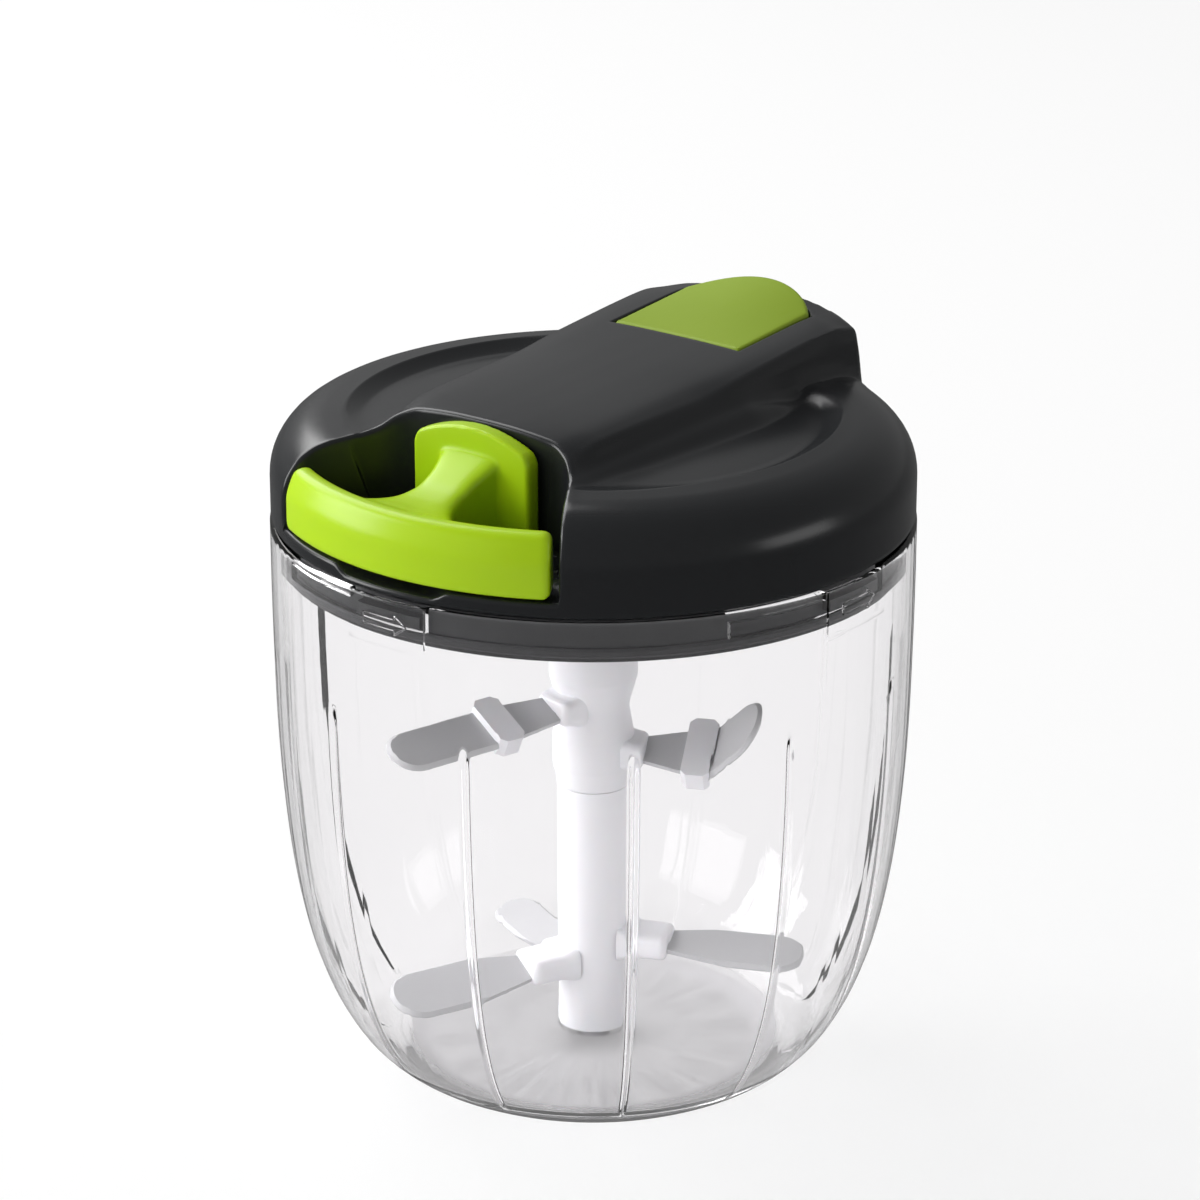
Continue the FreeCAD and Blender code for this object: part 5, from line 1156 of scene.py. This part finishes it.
@dataclass
class PullHandle:
    """Lime handle: a curved grip bar, a waisted neck and an arch-topped plate, run together softly."""

    outer: float = 64.3
    inner: float = 58.3
    low: float = 122.6
    high: float = 135.2
    half_angle: float = 30.7
    plate_half: float = 14.3
    plate_front: float = -38.5
    plate_back: float = -34.7
    plate_side: float = 142.0
    plate_crown: float = 145.7
    neck_low: float = 124.0
    neck_rows: tuple[float, ...] = (-60.5, -59, -57.5, -56, -53.5, -50.5, -47, -44, -41.5, -39.5, -37.5)
    neck_halves: tuple[float, ...] = (15.0, 14.5, 12.8, 10.8, 8.2, 6.5, 5.8, 5.8, 6.2, 6.8, 7.6)
    neck_levels: tuple[float, ...] = (
        134.4, 134.9, 134.9, 134.8, 134.9, 135.4, 136.3, 137.7, 139.0, 140.2, 141.3)
    voxel: float = 0.35
    softening: int = 16
    bar_middle: float = 61.0
    bar_waist: float = 130.0
    bar_mean: float = 60.0
    bar_end: float = 1.2
    bar_shrink: float = 0.16
    neck_crown: float = 2.6

    def bar(self) -> Array:
        """Grip bar: a rounded profile in (radius, level) swept about the axis between its two ends."""
        profile = rounded_corners([
            (self.bar_middle, self.low, 0), (self.outer, self.low, 1.4), (self.outer, self.bar_waist, 7.0),
            (self.outer - 1.9, self.high, 2.7), (self.inner + 0.7, self.high, 1.2),
            (self.inner, self.bar_waist, 2.0), (self.inner - 0.4, self.low, 1.4),
            (self.bar_middle, self.low, 0)])[:-1]
        middle = profile.mean(axis=0)
        bearing = np.radians(np.linspace(-self.half_angle, self.half_angle, 90))[:, None]
        radius = np.broadcast_to(profile[:, 0], (len(bearing), len(profile)))
        level = np.broadcast_to(profile[:, 1], radius.shape)
        away = (np.abs(np.degrees(bearing)) - self.half_angle) * math.pi / 180 * self.bar_mean + self.bar_end
        shrink = 1 - self.bar_shrink * np.clip(away / self.bar_end, 0, 1) ** 2
        radius = middle[0] + (radius - middle[0]) * shrink
        level = middle[1] + (level - middle[1]) * shrink
        return np.stack([radius * np.sin(bearing), -radius * np.cos(bearing), level], axis=2)

    def neck(self) -> Array:
        """Neck: round-topped sections whose half width and top level follow curves along Y."""
        y = np.linspace(self.neck_rows[0], self.neck_rows[-1], 60)
        half = curve_through(self.neck_rows, self.neck_halves, y)[:, None]
        top = curve_through(self.neck_rows, self.neck_levels, y)[:, None]
        turn = np.radians(np.linspace(0, 180, 25))
        side, rise = np.cos(turn), np.sin(turn)
        x = half * np.sign(side) * np.abs(side) ** 0.55
        z = top - self.neck_crown + self.neck_crown * rise ** 0.6
        low_x = np.concatenate([-half, half], axis=1)
        low_z = np.full_like(low_x, self.neck_low)
        x, z = np.concatenate([x, low_x], axis=1), np.concatenate([z, low_z], axis=1)
        return np.stack([x, np.broadcast_to(y[:, None], x.shape), z], axis=2)

    def plate(self) -> Array:
        """Plate: an arched outline with round top corners, carried from its back to its front."""
        x = np.linspace(-1, 1, 41)
        crown = self.plate_side + (self.plate_crown - self.plate_side) * (1 - x ** 2)
        corner = 1.6 * np.clip((np.abs(x) - 0.9) / 0.1, 0, 1) ** 2
        arch = np.stack([x * self.plate_half, crown - corner], axis=1)
        outline = np.concatenate([arch, [(self.plate_half, self.low), (-self.plate_half, self.low)]])
        depth = np.array([self.plate_back, self.plate_back - 0.5, self.plate_front + 0.5, self.plate_front])
        inset = np.array([0.4, 0.0, 0.0, 0.4])
        middle = outline.mean(axis=0)
        rows = middle + (outline - middle) * (1 - inset[:, None, None] / self.plate_half)
        return np.stack([rows[..., 0], np.broadcast_to(depth[:, None], rows.shape[:2]), rows[..., 1]], axis=2)

    def build(self, palette: "Palette") -> None:
        """Join the three forms into one soft shell and put it on the handle's body."""
        shell = Shell()
        for form in (self.bar(), self.neck(), self.plate()):
            shell.add_grid(form, wrap=True, caps=True)
        piece = melded(shell, "handle_grip", self.voxel, self.softening)
        settle(piece, Body.HANDLE, palette, "lime_gloss", "pull_handle")


def melded(shell: Shell, name: str, voxel: float, passes: int) -> bpy.types.Object:
    """Run overlapping closed forms into one skin and soften it.

    Args:
        shell: the closed forms.
        name: name of the piece.
        voxel: size of the grid in mm.
        passes: number of softening passes.

    Returns:
        A new object with a plain mesh.
    """
    rough = shell.to_object(name + "_rough", Facing.SMOOTH)
    remesh = rough.modifiers.new("one_skin", "REMESH")
    remesh.mode, remesh.voxel_size = "VOXEL", voxel * METRES
    remesh.use_smooth_shade = True
    soften = rough.modifiers.new("soften", "SMOOTH")
    soften.factor, soften.iterations = 0.5, passes
    bpy.context.view_layer.update()
    mesh = bpy.data.meshes.new_from_object(rough.evaluated_get(bpy.context.evaluated_depsgraph_get()))
    mesh.name = name
    bpy.data.objects.remove(rough)
    mesh.shade_smooth()
    return placed(name, mesh)


@dataclass
class VentButton:
    """Green insert in the rear of the ridge, which is the top of the vent's push button."""

    front: float = 27.0
    half: float = 15.6
    rear_centre: float = 40.4
    rear_round: float = 18.9
    low: float = 145.5
    front_level: float = 148.05
    rise: float = 0.14
    side_fall: float = 0.075
    edge: float = 0.8
    stem_place: float = 43.0
    stem_radius: float = 2.5
    stem_low: float = 107.0
    groove_low: float = 136.0
    groove_high: float = 137.0
    groove_radius: float = 1.8
    coil_radius: float = 3.8
    coil_wire: float = 0.4
    coil_low: float = 116.5
    coil_high: float = 135.5
    coil_turns: float = 6.0
    travel: float = 2.5

    def outline(self) -> tuple[Array, Array]:
        """Plan outline and its outward directions: straight front, straight sides and a round rear."""
        reach = math.degrees(math.asin(self.half / self.rear_round))
        rear_y = self.rear_centre + math.cos(math.radians(reach)) * self.rear_round
        bearing = np.radians(np.linspace(reach, -reach, 41))
        rear_out = np.stack([np.sin(bearing), np.cos(bearing)], 1)
        rear = self.rear_round * rear_out + np.array([0.0, self.rear_centre])
        y = np.linspace(self.front + 0.4, rear_y, 24)[:, None]
        side, side_out = np.hstack([y * 0 + self.half, y]), np.hstack([y * 0 + 1, y * 0])
        x = np.linspace(-self.half + 0.4, self.half - 0.4, 31)[:, None]
        front, front_out = np.hstack([x, x * 0 + self.front]), np.hstack([x * 0, x * 0 - 1])
        flip = np.array([-1.0, 1.0])
        points = np.concatenate([front, side, rear[1:-1], (side * flip)[::-1]])
        outward = np.concatenate([front_out, side_out, rear_out[1:-1], (side_out * flip)[::-1]])
        return points, outward

    def top(self, plan: Array) -> Array:
        """Level of the top: it rises to the rear along its middle, and less along its sides."""
        share = (plan[..., 0] / self.half) ** 2
        return self.front_level + (plan[..., 1] - self.front) * (self.rise - self.side_fall * share)

    def coil(self, palette: "Palette") -> None:
        """Return spring: wire along a helix round the stem."""
        share = np.linspace(0, 1, int(self.coil_turns * 36) + 1)
        angle = share * self.coil_turns * 2 * math.pi
        path = np.stack([self.coil_radius * np.cos(angle), self.stem_place + self.coil_radius * np.sin(angle),
                         self.coil_low + share * (self.coil_high - self.coil_low)], axis=1)
        shell = Shell()
        shell.add_grid(carried(path, round_box(self.coil_wire, self.coil_wire, self.coil_wire * 0.95),
                               np.array([0.0, 0.0, 1.0])), wrap=True, caps=True)
        piece = settle(shell.to_object("vent_coil", Facing.SMOOTH), Body.LID, palette, "spring_steel",
                       "vent_spring")
        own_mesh(piece)

    def build(self, palette: "Palette") -> None:
        """Make the cap and the stem as closed shells of one piece, and put it on the button's body."""
        outline, outward = self.outline()
        centre = np.array([0.0, self.stem_place])
        shell = Shell()
        rows = []
        for share in (0.02, 0.3, 0.6, 0.85, 0.97):
            plan = centre + (outline - outward * self.edge - centre) * share
            rows.append(np.column_stack([plan, self.top(plan)]))
        for turn in np.radians(np.linspace(0, 90, 7)):
            plan = outline - outward * self.edge * (1 - math.sin(turn))
            rows.append(np.column_stack([plan, self.top(plan) - self.edge * (1 - math.cos(turn))]))
        rows.append(np.column_stack([outline, np.full(len(outline), self.low)]))
        rows.append(np.column_stack([centre + (outline - centre) * 0.02, np.full(len(outline), self.low)]))
        shell.add_grid(np.stack(rows), wrap=True, caps=True)
        stem = rounded_corners([
            (0.0, self.stem_low, 0), (self.stem_radius, self.stem_low, 0.5),
            (self.stem_radius, self.groove_low, 0), (self.groove_radius, self.groove_low, 0),
            (self.groove_radius, self.groove_high, 0),
            (self.stem_radius, self.groove_high, 0), (self.stem_radius, self.low + 0.6, 0),
            (0.0, self.low + 0.6, 0)])
        shell.add_lathe(stem, 40, (0.0, self.stem_place))
        settle(shell.to_object("button_cap"), Body.BUTTON, palette, "lime_satin", "vent_button")
        self.coil(palette)


# The bowl


@dataclass
class Bowl:
    """Clear bowl: a round wall that draws in to the foot, with flutes inside and panels at its locks."""

    heights: tuple[float, ...] = (2, 4, 6, 8, 10, 15, 20, 30, 40, 50, 60, 70, 80, 90, 100, 110, 118.5)
    radii: tuple[float, ...] = (
        39.5, 43, 45.6, 47.6, 49.3, 52.4, 54.8, 58.2, 60.4, 61.9, 62.9, 63.6, 64.0, 64.2, 64.35, 64.4, 64.4)
    foot_points: tuple[tuple[float, float], ...] = ((0.0, 0.0), (20.0, 0.0), (33.0, 0.0), (36.6, 0.7))
    heel_points: tuple[tuple[float, float], ...] = ((45.0 - 1.4, 7.2), (41.6, 6.1))
    heel_level: float = 8.0
    rim: float = 118.5
    rim_round: float = 0.7
    wall: float = 2.0
    rib_count: int = 12
    rib_first: float = 15.0
    rib_depth: float = 0.75
    rib_half_angle: float = 1.15
    rib_low: float = 7.0
    rib_top: float = 90.0
    column_offsets: tuple[float, ...] = (
        0, 0.2, 0.4, 0.6, 0.8, 0.95, 1.08, 1.2, 1.7, 3.2, 4.8, 6.3, 6.5, 6.7, 8.5, 11.0, 13.3, 13.5, 13.7)
    floor_level: float = 5.5
    floor_radius: float = 39.0
    spigot_radius: float = 7.0
    spigot_top: float = 9.3
    pin_radius: float = 2.52
    pin_bottom: float = 2.0
    panel_half_angle: float = 8.5
    panel_low: float = 109.0
    panel_rise: float = 0.3
    slot_half_angle: float = 8.5
    slot_turn: float = 20.0
    slot_low: float = 113.2
    slot_high: float = 116.4
    slot_depth: float = 1.1
    arrow_level: float = 113.7

    def columns(self) -> Array:
        """Bearings of the mesh columns: dense round each flute, and at the edges of each panel."""
        half = np.array(self.column_offsets)
        sector = np.concatenate([-half[:0:-1], half, [15.0]])
        whole = np.arange(self.rib_count) * 360.0 / self.rib_count + self.rib_first
        return np.radians((whole[:, None] + sector).reshape(-1))

    def outer(self, level: Array) -> Array:
        """Outside radius at a level."""
        return curve_through(self.heights, self.radii, level)

    def flute(self, bearing: Array, level: Array) -> Array:
        """Depth of the flutes: a round bead at each, from the heel up to a blunt end below the lid."""
        step = 2 * math.pi / self.rib_count
        off = np.abs((bearing - math.radians(self.rib_first) + step / 2) % step - step / 2)
        bead = np.cos(np.clip(off / math.radians(self.rib_half_angle), 0, 1) * math.pi / 2) ** 2
        start = ease(level, self.rib_low - 2, self.rib_low + 3)
        return self.rib_depth * bead * start * (1 - ease(level, self.rib_top - 1.6, self.rib_top))

    def panel(self, bearing: Array, level: Array) -> Array:
        """Proud amount of the four panels over the bayonet slots."""
        quarter = math.pi / 2
        off = np.abs((bearing + quarter / 2) % quarter - quarter / 2)
        edge = math.radians(self.panel_half_angle)
        start = ease(level, self.panel_low - 0.4, self.panel_low)
        return self.panel_rise * (1 - ease(off, edge - 0.004, edge)) * start

    def slot(self, bearing: Array, level: Array) -> Array:
        """Depth of the bayonet slots in the rim: an entry from above, and a run to one side below it."""
        quarter = math.pi / 2
        off = (bearing + quarter / 2) % quarter - quarter / 2
        half, turn, step = math.radians(self.slot_half_angle), math.radians(self.slot_turn), math.radians(0.2)
        entry = 1 - ease(np.abs(off), half - step, half)
        run = 1 - ease(np.abs(off + turn / 2), half + turn / 2 - step, half + turn / 2)
        below = 1 - ease(level, self.slot_high - 0.05, self.slot_high + 0.05)
        above = ease(level, self.slot_low - 0.05, self.slot_low + 0.05)
        return self.slot_depth * np.maximum(entry, run * below) * above

    def inner(self, bearing: Array, level: Array) -> Array:
        """Inside radius: the outside less the wall and the flutes, and cut back at the slots."""
        return self.outer(level) - self.wall - self.flute(bearing, level) + self.slot(bearing, level)

    def build(self, palette: "Palette") -> None:
        """Make the bowl as one closed shell and put it on the root body."""
        bearing = self.columns()[None, :]
        level = np.concatenate([
            np.linspace(2, 10, 9), np.linspace(12, 108, 49),
            [self.panel_low - 0.5, self.panel_low - 0.2, self.panel_low],
            np.linspace(110, self.rim - 0.7, 8)])
        foot = np.repeat(np.array(self.foot_points)[:, None], bearing.shape[1], axis=1)
        rise = level[:, None]
        face = self.outer(rise) + self.panel(bearing, rise)
        rows_r, rows_z = [foot[..., 0], face], [foot[..., 1], np.broadcast_to(rise, face.shape)]
        turn = np.radians(np.linspace(0, 180, 9))[1:-1, None]
        face, back = face[-1:], self.inner(bearing, level[-1:, None])
        rows_r.append((face + back) / 2 + np.cos(turn) * (face - back) / 2)
        rows_z.append(self.rim - self.rim_round + self.rim_round * np.sin(turn) + 0 * bearing)
        slot_edges = np.array([self.slot_low, self.slot_high])
        inside = np.unique(np.concatenate([level, slot_edges - 0.06, slot_edges + 0.06]))[::-1]
        inside = inside[inside >= self.heel_level][:, None]
        in_radius = self.inner(bearing, inside)
        rows_r.append(in_radius)
        rows_z.append(np.broadcast_to(inside, in_radius.shape))
        heel = np.array([*self.heel_points, (self.floor_radius, self.floor_level), (30.0, self.floor_level),
                         (18.0, self.floor_level), (self.spigot_radius + 0.6, self.floor_level),
                         (self.spigot_radius, self.floor_level + 0.6),
                         (self.spigot_radius, self.spigot_top - 0.4),
                         (self.spigot_radius - 0.4, self.spigot_top), (self.pin_radius, self.spigot_top),
                         (self.pin_radius, self.pin_bottom), (0.0, self.pin_bottom)])
        heel = np.repeat(heel[:, None, :], bearing.shape[1], axis=1)
        rows_r.append(heel[..., 0])
        rows_z.append(heel[..., 1])
        radius, height = np.concatenate(rows_r), np.concatenate(rows_z)
        grid = np.stack([radius * np.cos(bearing), radius * np.sin(bearing), height], axis=2)
        shell = Shell()
        shell.add_grid(grid, wrap=True)
        settle(shell.to_object("bowl_wall", Facing.SOFT), Body.BOWL, palette, "clear_bowl", "bowl")
        self.add_arrows(palette)

    def add_arrows(self, palette: "Palette") -> None:
        """Raised plain arrow outlines on the panels, each a thin bead carried along its outline."""
        shell = Shell()
        outline = np.array([(-5.2, -1.1), (2.6, -1.1), (2.6, -2.0), (5.4, 0.0), (2.6, 2.0), (2.6, 1.1),
                            (-5.2, 1.1)])
        closed = np.concatenate([outline, outline[:1]])
        share = np.linspace(0, 1, 9)[:-1, None]
        path = np.concatenate([a + share * (b - a) for a, b in zip(closed[:-1], closed[1:])])
        away = np.gradient(np.concatenate([path[-1:], path, path[:1]]), axis=0)[1:-1]
        away = np.stack([away[:, 1], -away[:, 0]], 1) / np.linalg.norm(away, axis=1, keepdims=True)
        profile = np.array([(-0.22, -0.15), (-0.12, 0.2), (0.12, 0.2), (0.22, -0.15)])
        flat = path[:, None] + profile[None, :, :1] * away[:, None]
        proud = np.broadcast_to(profile[:, 1], flat.shape[:2])
        base = self.radii[-1] + self.panel_rise
        for bearing in np.radians([-90, 0, 90, 180]):
            angle = bearing + flat[..., 0] / base
            radius = base + proud
            grid = np.stack([radius * np.cos(angle), radius * np.sin(angle),
                             self.arrow_level + flat[..., 1]], axis=2)
            shell.add_grid(np.concatenate([grid, grid[:1]]), wrap=True)
        settle(shell.to_object("bowl_arrows"), Body.BOWL, palette, "clear_bowl")


# The blade column


@dataclass
class BladeColumn:
    """White column: the lower hub with three holders, and the sleeve with a waist and two holders."""

    bush: float = 4.6
    bush_top: float = 25.6
    socket_top: float = 82.05
    hub_outline: tuple[tuple[float, float, float], ...] = (
        (4.6, 9.6, 0), (7.12, 9.6, 0), (7.12, 6.6, 0), (7.4, 6.6, 0.1), (7.4, 59.9, 0.2), (5.2, 59.9, 0),
        (5.2, 82.0, 0.4), (0.0, 82.0, 0))
    sleeve_outline: tuple[tuple[float, float, float], ...] = (
        (5.25, 60.0, 0), (7.5, 60.0, 0.4), (8.3, 64.2, 4.0), (8.3, 70.6, 4.0), (7.2, 77.0, 6.0),
        (9.0, 83.6, 4.0), (9.1, 104.0, 0.9), (5.4, 104.0, 0.3))
    shaft_socket: tuple[tuple[float, float], ...] = ((5.4, 104.0), (4.75, 103.4), (4.75, 88.5), (0.0, 88.5))
    holder_half: float = 4.9
    holder_thick: float = 2.7
    holder_round: float = 1.7
    holder_end: float = 1.6
    end_taper: float = 0.34
    root_flare: float = 0.35
    root_reach: float = 4.0
    hub_holders: tuple[tuple[float, float, float], ...] = (
        (21.5, -112.0, 16.4), (25.5, 24.0, 16.4), (16.0, 155.0, 16.4))
    sleeve_holders: tuple[tuple[float, float, float], ...] = ((78.0, -104.0, 10.9), (67.5, 27.0, 10.9))

    def holder(self, level: float, bearing: float, reach: float, start: float) -> Array:
        """Holder of one blade: a rounded box section carried outwards that tapers and rounds at its end."""
        turn = np.radians(np.linspace(15, 90, 6))
        neck = np.linspace(start, reach - self.holder_end, 12)
        out = np.concatenate([neck, neck[-1] + self.holder_end * np.sin(turn)])
        end = np.concatenate([np.ones(len(neck)), 1 - self.end_taper * (1 - np.cos(turn))])
        flare = 1 + self.root_flare * (1 - ease(out, start, start + self.root_reach))
        profile = round_box(self.holder_half, self.holder_thick, self.holder_round, 5)
        across = profile[:, 0][None] * (end * (0.8 + 0.2 * flare))[:, None]
        rise = profile[:, 1][None] * (end * flare)[:, None]
        turn = math.radians(bearing)
        x = out[:, None] * math.cos(turn) - across * math.sin(turn)
        y = out[:, None] * math.sin(turn) + across * math.cos(turn)
        return np.stack([x, y, level + rise], axis=2)

    def make(self, palette: "Palette", name: str, node_name: str, outline: Array,
             holders: tuple[tuple[float, float, float], ...], start: float) -> None:
        """Turn one part of the column, add its holders and put it on the blades' body.

        Args:
            palette: the finishes.
            name: name of the piece.
            node_name: node that it stands for.
            outline: (radius, level) points from the axis round to the axis again.
            holders: level, bearing in degrees and reach of each holder.
            start: radius at which the holders begin.
        """
        shell = Shell()
        shell.add_lathe(outline, 72)
        for level, bearing, reach in holders:
            shell.add_grid(self.holder(level, bearing, reach, start), wrap=True, caps=True)
        settle(shell.to_object(name, Facing.SOFT), Body.BLADES, palette, "white_plastic", node_name)

    def build(self, palette: "Palette") -> None:
        """Make hub and sleeve."""
        hub = np.concatenate([[(0.0, self.bush_top), (self.bush, self.bush_top)],
                              rounded_corners(list(self.hub_outline))])
        self.make(palette, "hub_body", "blade_hub", hub, self.hub_holders, 6.0)
        inside = self.sleeve_outline[0][0]
        sleeve = np.concatenate([[(0.0, self.socket_top), (inside, self.socket_top)],
                                 rounded_corners(list(self.sleeve_outline)), self.shaft_socket])
        self.make(palette, "sleeve_body", "hub_sleeve", sleeve, self.sleeve_holders, 5.6)


# The cord


@dataclass
class Cord:
    """Braided pull cord: its wound coil on the reel and its run through the eyelet to the handle."""

    radius: float = 0.9
    level: float = 129.45
    eyelet_y: float = -30.0
    bead_y: float = -42.0
    bend: float = 4.0
    leave_bearing: float = -48.6
    winding_radius: float = 22.5
    drum_radius: float = 19.65
    pitch: float = 2.25
    columns: int = 14

    def tube(self, path: Array, name: str) -> bpy.types.Object:
        """Tube round a path, with a UV map of turns across and cord diameters along."""
        spin = np.linspace(0, 2 * math.pi, self.columns, endpoint=False)
        ring = np.stack([np.cos(spin), np.sin(spin)], 1) * self.radius
        grid = carried(path, ring, np.array([0.0, 0.0, 1.0]))
        shell = Shell()
        shell.add_grid(grid, wrap=True, caps=True)
        piece = shell.to_object(name, Facing.SMOOTH)
        steps = np.concatenate([[0], np.cumsum(np.linalg.norm(np.diff(path, axis=0), axis=1))])
        mesh = piece.data
        spots = np.zeros(len(mesh.vertices) * 3)
        mesh.vertices.foreach_get("co", spots)
        spots = spots.reshape(-1, 3) / METRES
        nearest = ((spots[:, None] - path[None]) ** 2).sum(2).argmin(1)
        loops = np.zeros(len(mesh.loops), np.int32)
        mesh.loops.foreach_get("vertex_index", loops)
        tangent = np.gradient(path, axis=0)
        tangent /= np.linalg.norm(tangent, axis=1, keepdims=True)
        side = np.cross(tangent, [0.0, 0.0, 1.0])
        off = spots - path[nearest]
        angle = np.arctan2(off[:, 2], (off * side[nearest]).sum(1)) / (2 * math.pi)
        uv = np.stack([angle[loops] % 1.0, steps[nearest][loops] / (self.radius * 2 * math.pi)], axis=1)
        layer = mesh.uv_layers.new(name="UVMap")
        layer.data.foreach_set("uv", uv.astype(np.float32).reshape(-1))
        return piece

    def run_path(self) -> Array:
        """Run of the cord: straight from the coil, in an arc at the eyelet, and straight to the bead."""
        leave = math.radians(self.leave_bearing)
        start = self.winding_radius * np.array([math.cos(leave), math.sin(leave)])
        corner, bead = np.array([0.0, self.eyelet_y]), np.array([0.0, self.bead_y])
        way_in = (corner - start) / np.linalg.norm(corner - start)
        way_out = np.array([0.0, -1.0])
        turn = math.acos(float(np.clip(way_in @ way_out, -1, 1)))
        setback = self.bend * math.tan(turn / 2)
        before, after = corner - way_in * setback, corner + way_out * setback
        t = np.linspace(0, 1, 16)[:, None]
        arc = (1 - t) ** 2 * before + 2 * t * (1 - t) * corner + t ** 2 * after
        first = start + np.linspace(0, 1, 40)[:-1, None] * (before - start)
        last = after + np.linspace(0, 1, 160)[1:, None] * (bead - after)
        plan = np.concatenate([first, arc, last])
        return np.column_stack([plan, np.full(len(plan), self.level)])

    def coil_path(self, radius: float, low: float, high: float, turns: float, end: float) -> Array:
        """Coil: turns of one radius between two levels, ending at a bearing in degrees."""
        share = np.linspace(0, 1, int(turns * 72))
        angle = math.radians(end) + (share - 1) * turns * 2 * math.pi
        return np.stack([radius * np.cos(angle), radius * np.sin(angle), low + share * (high - low)], axis=1)

    def build(self, palette: "Palette") -> None:
        """Make run and coil. The run reaches from the coil through the eyelet to the handle."""
        run = self.tube(self.run_path(), "cord_line")
        finish_piece(run, palette, "cord_fibre", "cord_run")
        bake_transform(run)
        LOG.info("%s stretches from the lid to the handle", run.name)
        low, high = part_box("cord_winding")
        low, high = low.z / METRES + self.radius, high.z / METRES - self.radius
        turns = round((high - low) / self.pitch, 2)
        coil = self.coil_path(self.winding_radius, low, high, turns, self.leave_bearing)
        settle(self.tube(coil, "cord_coil"), Body.REEL, palette, "cord_fibre", "cord_winding")
        outside = self.winding_radius - self.radius * 1.05
        low, high = low - self.radius, high + self.radius
        layers = Shell()
        layers.add_lathe(np.array([(self.drum_radius, low), (outside, low), (outside, high),
                                   (self.drum_radius, high), (self.drum_radius, low)]))
        core = layers.to_object("cord_layers")
        core.data.uv_layers.new(name="UVMap")
        settle(core, Body.REEL, palette, "cord_fibre", "cord_winding")


# Everything together


KEPT_NODES: dict[str, tuple[str, ...]] = {
    "machined_steel": ("drive_shaft",),
    "pin_steel": ("spindle_pin",),
    "seal_rubber": ("lid_seal", "shaft_seal", "vent_seal"),
    "lid_matte": ("spring_housing", "spring_cover", "clutch_race", "clutch_cap"),
    # The lid base takes the matte charcoal, darkened as painted shade
    "tray_matte_painted_shade": ("lid_base",),
    "screw_steel": ("lid_screws", "housing_screws"),
    "eyelet_chrome": ("cord_eyelet",),
    "bush_brass": ("lower_bearing", "upper_bearing", "cord_stop", "hub_bush"),
    "spring_steel": ("main_spring", "stem_clip"),
    "white_plastic": ("cord_reel", "blade_collars"),
    "roller_steel": ("clutch_rollers",),
    "blade_steel": ("upper_blade_left", "upper_blade_right", "lower_blade_front", "lower_blade_side",
                    "lower_blade_rear"),
}


def dress_kept_nodes(palette: Palette) -> None:
    """Give the pieces that stay as the model has them their finish."""
    for slot, names in KEPT_NODES.items():
        for name in names:
            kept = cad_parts[name]
            kept.data.materials.clear()
            kept.data.materials.append(palette[slot])
            LOG.info("%s is dressed in %s", name, slot)


def main() -> None:
    """Build the studio and every piece of the chopper."""
    logging.basicConfig(level=logging.INFO, format="%(message)s")
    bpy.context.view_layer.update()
    Studio().build()
    palette = Palette()
    for part in (Cord(), LidCover(), PullHandle(), VentButton(), Bowl(), BladeColumn()):
        part.build(palette)
    dress_kept_nodes(palette)


if __name__ == "__main__":
    main()
